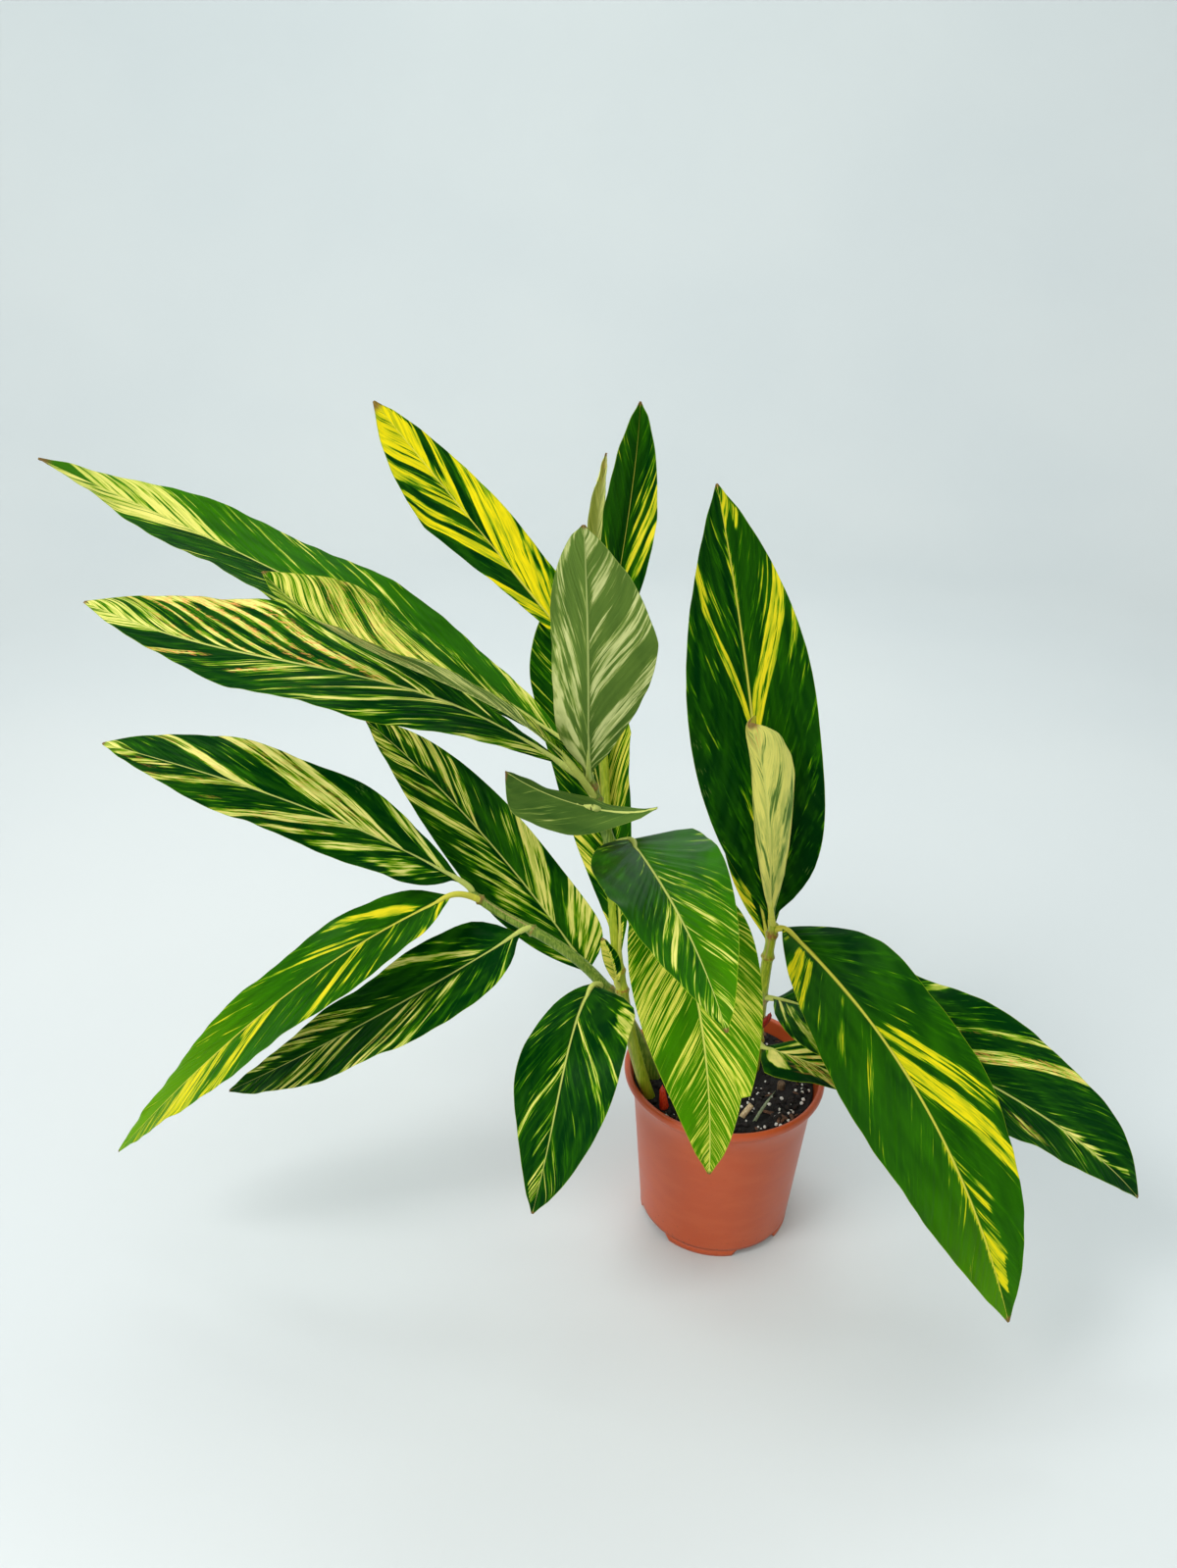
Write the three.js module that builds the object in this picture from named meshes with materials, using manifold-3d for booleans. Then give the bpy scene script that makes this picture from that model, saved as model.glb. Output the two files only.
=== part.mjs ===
// Potted variegated shell ginger: four leafy canes growing from one rhizome in a plastic nursery pot.
// Millimetres, +Z up. The origin is on the pot's axis, at the level of the surface it stands on.
// The front of the plant faces -Y. The pot sets the scale: a 150 mm (6 inch) nursery pot.

import * as THREE from 'three';
import { mergeVertices } from 'three/addons/utils/BufferGeometryUtils.js';
import Module from 'manifold-3d';

const wasm = await Module();
wasm.setup();

// Pot
const POT_RIM_RADIUS = 75;
const POT_HEIGHT = 135;
const POT_BASE_RADIUS = 58;
const POT_COLLAR_Z = 109;
const POT_COLLAR_RADIUS = 66.8;
const POT_WALL = 1.8;
const POT_FLOOR_Z = 6;
const POT_FLOOR_THICKNESS = 2;
const POT_FOOT_WIDTH = 4.5;
const POT_SIDES = 40;
const FOOT_COUNT = 4;
const FOOT_CENTRE_DEG = -97;
const FOOT_GAP_WIDTH = 32;
const DRAIN_HOLE_RADIUS = 4.5;
const DRAIN_HOLE_RING = 34;
const DRAIN_HOLE_COUNT = 6;
// Outline of the flared lip from outside to inside, as radius and height
const POT_LIP = [
  [68.6, 118], [71.6, 126], [73.6, 128.6], [74.8, 130], [POT_RIM_RADIUS, 132], [74.4, 134.2],
  [72.6, POT_HEIGHT], [70.6, 134.4], [70, 132.5],
];
// Inner wall from the floor to the rim, as height and radius
const POT_INNER_WALL = [
  [POT_FLOOR_Z + POT_FLOOR_THICKNESS, 56.5], [POT_COLLAR_Z, POT_COLLAR_RADIUS - POT_WALL],
  [118, 66.6], [127, 69.2], [POT_HEIGHT, 70],
];

// Soil, rhizome and the gap that is kept between touching pieces
const SOIL_TOP_Z = 124;
const SOIL_SIDES = 24;
const RHIZOME_RADIUS = 6.5;
const RHIZOME_ROUTE = [[-46, -28, 70], [-34, -8, 69], [-8, 2, 68], [28, 25, 70]];
const GAP = 0.3;

// Leaves
const BLADE_THICKNESS = 0.9;
const MIDRIB_KEEL = 0.9;
const PETIOLE_RADII = [2.4, 2.2, 1.7, 1.1];
const NODE_RING_HEIGHT = 6;
const NODE_RING_SWELL = 1.1;
const TUBE_SIDES = 8;
const CANE_STEPS = 12;

// Each cane is a smooth curve through four points, from its foot on the rhizome to its top.
const CANES = {
  front: {
    route: [[-28, -10, 74], [-43, -34, 187], [-67, -57, 296], [-96, -75, 405]],
    radii: [5.2, 4.0],
    length: 345,
  },
  back: {
    route: [[-36, -23, 74], [-74, -30, 206], [-90, -22, 334], [-103, -11, 460]],
    radii: [4.6, 3.4],
    length: 395,
  },
  left: {
    route: [[-39, -2, 74], [-86, -20, 205], [-138, -24, 252], [-185, -26, 282]],
    radii: [4.8, 3.4],
    length: 260,
  },
  right: {
    route: [[20, 22, 74], [22, 12, 142], [23, 3, 206], [26, -4, 266]],
    radii: [5.4, 4.2],
    length: 192,
  },
};

// Each leaf: the cane it grows from and the height of its node there, the midrib as a smooth curve
// through four points from base to tip, and the half widths of its left and right sides. face is
// where the upper side looks, at base, middle and tip, or one direction for all three. peak is how
// far along each side is widest, swell and taper are how full it is before and after that. fold is
// how far each side lifts from flat and curl how much more it turns by its edge, in degrees. wave
// is the height, number and start of the waves along the edges. stalk is the share of the midrib
// that is bare stalk, and joinAt how far along the midrib the stalk meets it. rows and columns set
// how finely the blade is divided.
const LEAVES = [
  {
    name: 'leaf_front_1', cane: 'front', node: 332,
    rib: [[-63, -62, 333], [-33, -140, 344], [-12, -200, 316], [-3, -225, 246]],
    half: [36, 33], face: [[0, -0.2, 1], [0, -0.4, 0.9], [0, -1, 0.4]], fold: [10, 10],
    wave: [3, 2, 0.2], peak: [0.42, 0.5], swell: [2, 1.8], taper: [1.9, 1.7],
  },
  {
    name: 'leaf_front_2', cane: 'front', node: 352, stalk: 0,
    rib: [[-69, -70, 359], [-46, -145, 379], [-22, -215, 388], [0, -272, 377]],
    half: [38, 34], face: [0, -0.2, 1], fold: [12, 12], wave: [2, 2, 0.2],
    peak: [0.2, 0.4], swell: [5, 2.8], taper: [1.8, 1.6],
  },
  {
    name: 'leaf_front_3', cane: 'front', node: 370, joinAt: 0.42,
    rib: [[-52, -94, 395], [-79, -92, 389], [-111, -98, 398], [-139, -106, 416]],
    half: [26, 14], face: [0, 0.5, 0.85], fold: [-55, 25], wave: [1, 2, 0.3],
    peak: [0.75, 0.6], swell: [1.3, 1.5], taper: [4, 2], rows: 8, columns: 4,
  },
  {
    name: 'leaf_front_4', cane: 'front', node: 386,
    rib: [[-101, -90, 413], [-150, -116, 464], [-211, -126, 493], [-269, -118, 529]],
    half: [28, 38], face: [[0.2, -0.3, 0.9], [0.2, 0.2, 0.9], [0.2, -0.3, 0.9]],
    fold: [[20, 30, 30], [20, 30, 10]], wave: [3, 2, 0.3],
    peak: [0.5, 0.7], swell: [2, 0.8], taper: [2, 2],
  },
  {
    name: 'leaf_front_5', cane: 'front', node: 395,
    rib: [[-102, -76, 403], [-199, -95, 458], [-295, -92, 471], [-402, -82, 493]],
    half: [30, 38], face: [0, -0.45, 0.95], fold: [5, 8], wave: [3, 3, 0.3],
    peak: [0.45, 0.62], swell: [2.3, 0.9], taper: [1.9, 2.6],
  },
  {
    name: 'leaf_front_6', cane: 'front', node: 399,
    rib: [[-101, -62, 409], [-221, -35, 468], [-348, -20, 519], [-443, -40, 568]],
    half: [34, 33], face: [0.2, -0.25, 0.95], fold: [12, 12], wave: [3, 3, 0.1],
    peak: [0.44, 0.46],
  },
  {
    name: 'leaf_front_7', cane: 'front', node: 404,
    rib: [[-95, -76, 400], [-90, -114, 468], [-86, -148, 528], [-83, -180, 578]],
    half: [35, 19], face: [0, 1, 0.3], fold: [10, 10], wave: [2, 2, 0.3],
    peak: [0.53, 0.42], swell: [2, 5.5], taper: [1.2, 2.8],
  },
  {
    name: 'leaf_back_1', cane: 'back', node: 216,
    rib: [[-79, -34, 223], [-81, -42, 244], [-84, -48, 260], [-88, -50, 271]],
    half: [4, 5], face: [0, -1, 0.3], fold: [20, 20], wave: [0, 2, 0.2], rows: 6, columns: 4,
  },
  {
    name: 'leaf_back_2', cane: 'back', node: 232,
    rib: [[-79, -30, 236], [-88, -20, 329], [-112, 0, 411], [-127, 10, 495]],
    half: [27, 29], face: [0, -1, 0.2], fold: [10, 10], wave: [2, 2, 0.2],
    peak: [0.75, 0.58], swell: [2.8, 0.8], taper: [1.9, 2.3],
  },
  {
    name: 'leaf_back_3', cane: 'back', node: 450,
    rib: [[-109, -14, 455], [-150, -17, 505], [-192, -18, 555], [-233, -25, 607]],
    half: [26, 20], face: [0.5, -0.8, 0.5], fold: [10, 10], wave: [1.5, 2, 0.2],
    peak: [0.62, 0.25], swell: [1, 1.8], taper: [2.1, 3],
  },
  {
    name: 'leaf_back_4', cane: 'back', node: 441,
    rib: [[-98, -17, 445], [-89, -18, 503], [-81, -22, 563], [-77, -30, 613]],
    half: [17, 16], face: [0.3, -1, 0], fold: [30, 30], wave: [1.5, 2, 0.2], peak: [0.6, 0.5],
  },
  {
    name: 'leaf_back_5_furled', cane: 'back', node: 459,
    rib: [[-105, -8, 467], [-105, -2, 505], [-104, 2, 543], [-100, 2, 579]],
    half: [10, 10], face: [0, -1, 0], fold: [25, 25], curl: [80, 80], wave: [0, 2, 0.2], rows: 9,
  },
  {
    name: 'leaf_left_1', cane: 'left', node: 211, stalk: 0,
    rib: [[-96, -32, 219], [-103, -80, 209], [-107, -118, 176], [-118, -140, 107]],
    half: [38, 29], face: [[0, -0.3, 0.9], [0, -0.6, 0.8], [0, -0.9, 0.3]], fold: [10, 10],
    wave: [3, 2, 0.2], peak: [0.3, 0.54], swell: [5, 2], taper: [2.6, 1.7],
  },
  {
    name: 'leaf_left_2', cane: 'left', node: 203,
    rib: [[-99, -6, 204], [-151, 15, 261], [-213, 35, 319], [-279, 45, 374]],
    half: [32, 27], face: [0.3, -0.8, 0.5], fold: [10, 10], wave: [2, 2, 0.2],
    peak: [0.4, 0.25], swell: [2.2, 5.5], taper: [2, 4.2],
  },
  {
    name: 'leaf_left_3', cane: 'left', node: 254,
    rib: [[-145, -26, 257], [-202, -63, 228], [-270, -88, 189], [-350, -95, 137]],
    half: [34, 30], face: [[-0.2, -0.5, 0.8], [-0.3, -0.5, 0.8], [-0.4, -0.5, 0.6]], fold: [10, 10],
    wave: [2, 3, 0.2], peak: [0.3, 0.25], swell: [2.9, 3.3], taper: [2.6, 1.9],
  },
  {
    name: 'leaf_left_4', cane: 'left', node: 274,
    rib: [[-191, -36, 286], [-250, -85, 266], [-325, -118, 208], [-426, -125, 95]],
    half: [31, 24], face: [[-0.2, -0.5, 0.8], [-0.3, -0.5, 0.8], [-0.4, -0.5, 0.6]], fold: [10, 10],
    wave: [2, 3, 0.2], peak: [0.5, 0.4], swell: [3.6, 5], taper: [2, 2.2],
  },
  {
    name: 'leaf_left_5', cane: 'left', node: 281,
    rib: [[-187, -26, 287], [-256, -45, 334], [-335, -55, 366], [-429, -50, 384]],
    half: [26, 30], face: [0, -0.5, 0.8], fold: [10, 10], wave: [3, 3, 0.2],
    peak: [0.5, 0.5], swell: [5.5, 2.3], taper: [2, 2.6],
  },
  {
    name: 'leaf_right_1', cane: 'right', node: 156,
    rib: [[27, -4, 159], [53, -22, 167], [82, -35, 166], [111, -42, 159]],
    half: [16, 24], face: [0, -0.3, 1], fold: [10, 10], wave: [1, 2, 0.2],
    peak: [0.4, 0.2], taper: [1.9, 1.2], rows: 10,
  },
  {
    name: 'leaf_right_2', cane: 'right', node: 198,
    rib: [[28, 0, 201], [97, -42, 215], [194, -65, 187], [280, -70, 123]],
    half: [52, 46], face: [[0.1, -0.3, 1], [0.2, -0.3, 1], [0.3, -0.5, 0.6]], fold: [14, 10],
    wave: [3, 3, 0.2], peak: [0.36, 0.42], swell: [3.4, 3], taper: [2.8, 1.2],
  },
  {
    name: 'leaf_right_3', cane: 'right', node: 238,
    rib: [[24, 14, 238], [9, 22, 291], [-9, 28, 356], [-22, 32, 426]],
    half: [15, 22], face: [0, -1, 0.2], fold: [10, 10], wave: [1, 2, 0.2],
  },
  {
    name: 'leaf_right_4', cane: 'right', node: 260, stalk: 0,
    rib: [[33, -10, 268], [82, -85, 261], [137, -130, 201], [191, -150, 82]],
    half: [42, 47], face: [[0, -0.3, 1], [0.2, -0.6, 0.8], [0.3, -0.8, 0.4]], fold: [8, 10],
    wave: [2, 3, 0.2], peak: [0.53, 0.48], swell: [5.5, 1.6], taper: [2.4, 2.1],
  },
  {
    name: 'leaf_right_5', cane: 'right', node: 252,
    rib: [[25, 8, 252], [8, 8, 363], [-11, 6, 466], [-33, -8, 566]],
    half: [41, 41], face: [0.1, -1, 0.2], fold: [10, 10], wave: [2, 3, 0.2],
    peak: [0.46, 0.46], swell: [2.2, 5], taper: [1.9, 2],
  },
  {
    name: 'leaf_right_6_furled', cane: 'right', node: 265,
    rib: [[25, -5, 267], [19, -20, 324], [12, -34, 381], [-2, -44, 432]],
    half: [25, 28], face: [[0, 1, 0.3], [0.1, 1, 0.3], [0.5, 1, 0.2]], fold: [10, 10], curl: [110, 110],
    wave: [0, 2, 0.2], peak: [0.6, 0.8], swell: [2.3, 2.8], taper: [2.5, 4.2],
  },
];

// Small things that stand in the soil: route from foot to top, the radii there and the colour.
const SHOOTS = [
  {
    name: 'shoot_red', radii: [5.4, 1.6], colour: 0xc8371c,
    route: [[-38, -39, 100], [-40, -39, 116], [-42, -38, 130], [-43, -37, 141]],
  },
  {
    name: 'sheath_stub', radii: [2.6, 2.0], colour: 0xcbb48a,
    route: [[10, -42, 100], [12, -42, 112], [15, -41, 122], [22, -37, 133]],
  },
  {
    name: 'cane_stub', radii: [3.2, 2.8], colour: 0x5c4632,
    route: [[42, -4, 100], [42, -4, 110], [43, -4, 120], [43, -5, 129]],
  },
  {
    name: 'shoot_grey', radii: [1.8, 0.9], colour: 0x66755c,
    route: [[19, -50, 100], [21, -48, 112], [26, -43, 126], [38, -31, 143]],
  },
];

// The red bud that sits on one cane.
const BUD = {
  cane: 'right', radii: [3.2, 1.2],
  route: [[24, 5, 172], [27, 2, 178], [29, -1, 184], [30, -2, 190]],
};

function material(colour, roughness) {
  return new THREE.MeshStandardMaterial({ color: colour, roughness, metalness: 0 });
}

// A smooth curve through four points, at t = 0, 1/3, 2/3 and 1.
function curvePoint(points, t) {
  const weights = [
    (1 - 3 * t) * (2 - 3 * t) * (1 - t) / 2,
    9 * t * (2 - 3 * t) * (1 - t) / 2,
    9 * t * (3 * t - 1) * (1 - t) / 2,
    t * (3 * t - 1) * (3 * t - 2) / 2,
  ];
  const result = new THREE.Vector3();
  points.forEach((p, i) => result.addScaledVector(new THREE.Vector3(...p), weights[i]));
  return result;
}

// A value given at base, middle and tip, straight between them. One value stands for all three.
function alongValue(values, t) {
  const [base, middle, tip] = Array.isArray(values) ? values : [values, values, values];
  return t < 0.5 ? base + (middle - base) * t * 2 : middle + (tip - middle) * (t - 0.5) * 2;
}

function faceDirection(face, t) {
  const stations = Array.isArray(face[0]) ? face : [face, face, face];
  const axis = (k) => alongValue(stations.map((f) => f[k]), t);
  return new THREE.Vector3(axis(0), axis(1), axis(2)).normalize();
}

// How wide one side of a blade is at t, as a share of its half width.
function sideProfile(t, peak, swell, taper, stalk) {
  const u = Math.min(Math.max((t - stalk) / (1 - stalk), 0), 1);
  if (u < peak) {
    return 1 - Math.pow(1 - u / peak, swell);
  }
  return 1 - Math.pow((u - peak) / (1 - peak), taper);
}

// The middle surface of a blade, as rows of points from base to tip.
function bladeSurface(leaf) {
  const { rows = 13, columns = 6, rib, half, face, fold, wave } = leaf;
  const { peak = [0.42, 0.42], swell = [2, 2], taper = [1.9, 1.9], curl = [0, 0], stalk = 0.04 } = leaf;
  const [waveHeight, waveCount, waveStart] = wave;
  const stalkHalf = 1.6;
  const tipHalf = 0.7;
  const surface = [];
  for (let i = 0; i <= rows; i++) {
    const t = i / rows;
    const centre = curvePoint(rib, t);
    const tangent = curvePoint(rib, t + 0.001).sub(curvePoint(rib, t - 0.001)).normalize();
    const up = faceDirection(face, t);
    up.addScaledVector(tangent, -up.dot(tangent)).normalize();
    const right = new THREE.Vector3().crossVectors(tangent, up);
    const envelope = Math.pow(Math.sin(Math.PI * t), 0.7) || 0;
    const row = [];
    for (let j = 0; j <= columns; j++) {
      const v = -1 + 2 * j / columns;
      const side = v < 0 ? 0 : 1;
      const out = Math.abs(v);
      const width = half[side] * sideProfile(t, peak[side], swell[side], taper[side], stalk)
        + (t > 0.97 ? tipHalf : stalkHalf);
      const angle = THREE.MathUtils.degToRad(alongValue(fold[side], t) + curl[side] * out / 2);
      const phase = waveCount * t + waveStart + (side === 0 ? 0.37 : 0);
      const lift = waveHeight * out * out * envelope * Math.sin(2 * Math.PI * phase);
      row.push(centre.clone()
        .addScaledVector(right, Math.sign(v) * width * out * Math.cos(angle))
        .addScaledVector(up, width * out * Math.sin(angle) + lift));
    }
    surface.push(row);
  }
  return surface;
}

// A closed thin body round a surface, split into triangles alike on both faces, with the midrib
// standing out as a keel below.
function bladeGeometry(leaf) {
  const surface = bladeSurface(leaf);
  const rows = surface.length - 1;
  const columns = surface[0].length - 1;
  const positions = [];
  const lower = [];
  for (let i = 0; i <= rows; i++) {
    for (let j = 0; j <= columns; j++) {
      const along = surface[Math.min(i + 1, rows)][j].clone().sub(surface[Math.max(i - 1, 0)][j]);
      const across = surface[i][Math.min(j + 1, columns)].clone().sub(surface[i][Math.max(j - 1, 0)]);
      const normal = across.cross(along).normalize();
      const keel = 2 * j === columns ? MIDRIB_KEEL : 0;
      const point = surface[i][j];
      positions.push(...point.clone().addScaledVector(normal, BLADE_THICKNESS / 2).toArray());
      lower.push(...point.clone().addScaledVector(normal, -BLADE_THICKNESS / 2 - keel).toArray());
    }
  }
  const index = [];
  const count = (rows + 1) * (columns + 1);
  const at = (i, j) => i * (columns + 1) + j;
  const wall = (a, b) => index.push(a, b, count + b, a, count + b, count + a);
  for (let i = 0; i < rows; i++) {
    for (let j = 0; j < columns; j++) {
      const [a, b, c, d] = [at(i, j), at(i + 1, j), at(i + 1, j + 1), at(i, j + 1)];
      index.push(a, d, c, a, c, b);
      index.push(count + a, count + c, count + d, count + a, count + b, count + c);
    }
    wall(at(i + 1, columns), at(i, columns));
    wall(at(i, 0), at(i + 1, 0));
  }
  for (let j = 0; j < columns; j++) {
    wall(at(0, j + 1), at(0, j));
    wall(at(rows, j), at(rows, j + 1));
  }
  const geometry = new THREE.BufferGeometry();
  geometry.setAttribute('position', new THREE.Float32BufferAttribute([...positions, ...lower], 3));
  geometry.setIndex(index);
  return geometry;
}

// A closed tube of changing radius through a list of points.
function tubeGeometry(points, radii, sides = TUBE_SIDES) {
  const positions = [];
  const index = [];
  const first = points[1].clone().sub(points[0]).normalize();
  const reference = Math.abs(first.x) < 0.9 ? new THREE.Vector3(1, 0, 0) : new THREE.Vector3(0, 1, 0);
  const last = points.length - 1;
  points.forEach((point, i) => {
    const tangent = points[Math.min(i + 1, last)].clone().sub(points[Math.max(i - 1, 0)]).normalize();
    const a = reference.clone().addScaledVector(tangent, -reference.dot(tangent)).normalize();
    const b = new THREE.Vector3().crossVectors(tangent, a);
    for (let k = 0; k < sides; k++) {
      const angle = 2 * Math.PI * k / sides;
      const rim = point.clone()
        .addScaledVector(a, radii[i] * Math.cos(angle))
        .addScaledVector(b, radii[i] * Math.sin(angle));
      positions.push(...rim.toArray());
    }
  });
  positions.push(...points[0].toArray(), ...points[last].toArray());
  const start = points.length * sides;
  for (let k = 0; k < sides; k++) {
    const next = (k + 1) % sides;
    for (let i = 0; i < last; i++) {
      const [a, b, c, d] = [i * sides + k, i * sides + next, (i + 1) * sides + next, (i + 1) * sides + k];
      index.push(a, b, c, a, c, d);
    }
    index.push(start, next, k);
    index.push(start + 1, last * sides + k, last * sides + next);
  }
  const geometry = new THREE.BufferGeometry();
  geometry.setAttribute('position', new THREE.Float32BufferAttribute(positions, 3));
  geometry.setIndex(index);
  return geometry;
}

function toSolid(geometry) {
  const bare = geometry.clone();
  bare.deleteAttribute('normal');
  bare.deleteAttribute('uv');
  const merged = mergeVertices(bare, 1e-4);
  return new wasm.Manifold(new wasm.Mesh({
    numProp: 3,
    vertProperties: new Float32Array(merged.attributes.position.array),
    triVerts: new Uint32Array(merged.index.array),
  }));
}

function fromSolid(solid) {
  const mesh = solid.getMesh();
  const positions = [];
  for (let i = 0; i < mesh.numVert; i++) {
    positions.push(...mesh.vertProperties.slice(i * mesh.numProp, i * mesh.numProp + 3));
  }
  const geometry = new THREE.BufferGeometry();
  geometry.setAttribute('position', new THREE.Float32BufferAttribute(positions, 3));
  geometry.setIndex([...mesh.triVerts]);
  return geometry;
}

// The largest body of a solid, so that no loose scrap of a cut is left.
function largestBody(solid) {
  return solid.decompose().reduce((best, body) => (body.volume() > best.volume() ? body : best));
}

function namedMesh(name, geometry, look) {
  const mesh = new THREE.Mesh(geometry, look);
  mesh.name = name;
  return mesh;
}

// How far along a route a height is.
function shareAtHeight(route, height) {
  let low = 0;
  let high = 1;
  for (let i = 0; i < 30; i++) {
    const middle = (low + high) / 2;
    if (curvePoint(route, middle).z < height) {
      low = middle;
    } else {
      high = middle;
    }
  }
  return low;
}

// A tapered tube along a route. It swells a little at each node, where a leaf's sheath ends.
function routeTube(route, radii, steps, extra = 0, nodeShares = [], ringShare = 0) {
  const stations = [];
  for (let i = 0; i <= steps; i++) {
    stations.push({ share: i / steps, swell: 0 });
  }
  const clear = (share) => nodeShares.every((node) => Math.abs(node - share) > 1.4 * ringShare);
  const kept = stations.filter((s) => s.share === 0 || s.share === 1 || clear(s.share));
  nodeShares.forEach((node) => {
    kept.push({ share: node - ringShare, swell: 0 });
    kept.push({ share: node, swell: NODE_RING_SWELL });
  });
  kept.sort((a, b) => a.share - b.share);
  const points = kept.map((s) => curvePoint(route, s.share));
  const sizes = kept.map((s) => radii[0] + (radii[1] - radii[0]) * s.share + s.swell + extra);
  if (extra > 0) {
    const last = points.length - 1;
    points[0].addScaledVector(points[1].clone().sub(points[0]).normalize(), -extra);
    points[last].addScaledVector(points[last].clone().sub(points[last - 1]).normalize(), extra);
  }
  return tubeGeometry(points, sizes);
}

// Nodes closer together than a ring's height share one ring.
function caneGeometry(side, extra = 0) {
  const { route, radii, length } = CANES[side];
  const heights = LEAVES.filter((leaf) => leaf.cane === side).map((leaf) => leaf.node).sort((a, b) => a - b);
  const spaced = [];
  heights.forEach((height) => {
    if (spaced.length === 0 || height - spaced[spaced.length - 1] > 2 * NODE_RING_HEIGHT) {
      spaced.push(height);
    }
  });
  const shares = spaced.map((height) => shareAtHeight(route, height));
  return routeTube(route, radii, CANE_STEPS, extra, shares, NODE_RING_HEIGHT / length);
}

function makeCane(side) {
  const cane = toSolid(caneGeometry(side));
  const whole = side === BUD.cane ? cane.add(toSolid(routeTube(BUD.route, BUD.radii, 4))) : cane;
  return namedMesh(`cane_${side}`, fromSolid(whole), material(0x8f9a4a, 0.5));
}

function petioleGeometry(leaf) {
  const { route } = CANES[leaf.cane];
  const joinAt = leaf.joinAt ?? 0.01;
  const points = [curvePoint(route, shareAtHeight(route, leaf.node))];
  [0, 0.06, 0.12].forEach((step) => points.push(curvePoint(leaf.rib, joinAt + step)));
  return tubeGeometry(points, PETIOLE_RADII, 6);
}

function makeLeaf(leaf, caneHoles) {
  const whole = toSolid(bladeGeometry(leaf)).add(toSolid(petioleGeometry(leaf)));
  const clear = largestBody(whole.subtract(caneHoles[leaf.cane]));
  return namedMesh(leaf.name, fromSolid(clear), material(leaf.colour ?? 0x4f7d2a, 0.45));
}

// Inner radius of the pot at a height.
function potInnerRadius(z) {
  for (let i = 1; i < POT_INNER_WALL.length; i++) {
    const [z0, r0] = POT_INNER_WALL[i - 1];
    const [z1, r1] = POT_INNER_WALL[i];
    if (z <= z1) {
      return r0 + (r1 - r0) * (z - z0) / (z1 - z0);
    }
  }
  return POT_INNER_WALL[POT_INNER_WALL.length - 1][1];
}

function footGapCutter(index) {
  const halfLow = FOOT_GAP_WIDTH / 2 + 4;
  const halfHigh = FOOT_GAP_WIDTH / 2;
  const depth = 30;
  const shape = new THREE.Shape([
    new THREE.Vector2(-halfLow, -1),
    new THREE.Vector2(halfLow, -1),
    new THREE.Vector2(halfHigh, POT_FLOOR_Z - 0.8),
    new THREE.Vector2(-halfHigh, POT_FLOOR_Z - 0.8),
  ]);
  const geometry = new THREE.ExtrudeGeometry(shape, { depth, bevelEnabled: false });
  geometry.rotateX(Math.PI / 2);
  geometry.translate(0, -POT_BASE_RADIUS + depth / 2 + 8, 0);
  const gapDeg = FOOT_CENTRE_DEG + (index + 0.5) * 360 / FOOT_COUNT;
  geometry.rotateZ(THREE.MathUtils.degToRad(gapDeg + 90));
  return geometry;
}

function makePot() {
  const footInner = POT_BASE_RADIUS - POT_FOOT_WIDTH;
  const innerWall = POT_INNER_WALL.slice(0, -1).reverse().map(([z, radius]) => [radius, z]);
  const outline = [
    [0, POT_FLOOR_Z], [footInner, POT_FLOOR_Z], [footInner, 0], [POT_BASE_RADIUS, 0],
    [POT_BASE_RADIUS + 0.3, POT_FLOOR_Z], [POT_COLLAR_RADIUS, POT_COLLAR_Z], ...POT_LIP, ...innerWall,
    [0, POT_FLOOR_Z + POT_FLOOR_THICKNESS],
  ];
  const shell = new THREE.LatheGeometry(outline.map(([r, z]) => new THREE.Vector2(r, z)), POT_SIDES);
  shell.rotateX(Math.PI / 2);
  let pot = toSolid(shell);
  for (let i = 0; i < FOOT_COUNT; i++) {
    pot = pot.subtract(toSolid(footGapCutter(i)));
  }
  for (let i = 0; i < DRAIN_HOLE_COUNT; i++) {
    const angle = 2 * Math.PI * i / DRAIN_HOLE_COUNT;
    const drill = new THREE.CylinderGeometry(DRAIN_HOLE_RADIUS, DRAIN_HOLE_RADIUS, 20, 10);
    drill.rotateX(Math.PI / 2);
    drill.translate(DRAIN_HOLE_RING * Math.cos(angle), DRAIN_HOLE_RING * Math.sin(angle), POT_FLOOR_Z);
    pot = pot.subtract(toSolid(drill));
  }
  return namedMesh('pot', fromSolid(pot), material(0xb0603f, 0.5));
}

// Height of the lumpy soil surface.
function soilHeight(x, y) {
  return SOIL_TOP_Z + 1.2 * Math.sin(x / 9 + 1) * Math.cos(y / 11) + 0.8 * Math.sin((x + y) / 6);
}

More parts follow.
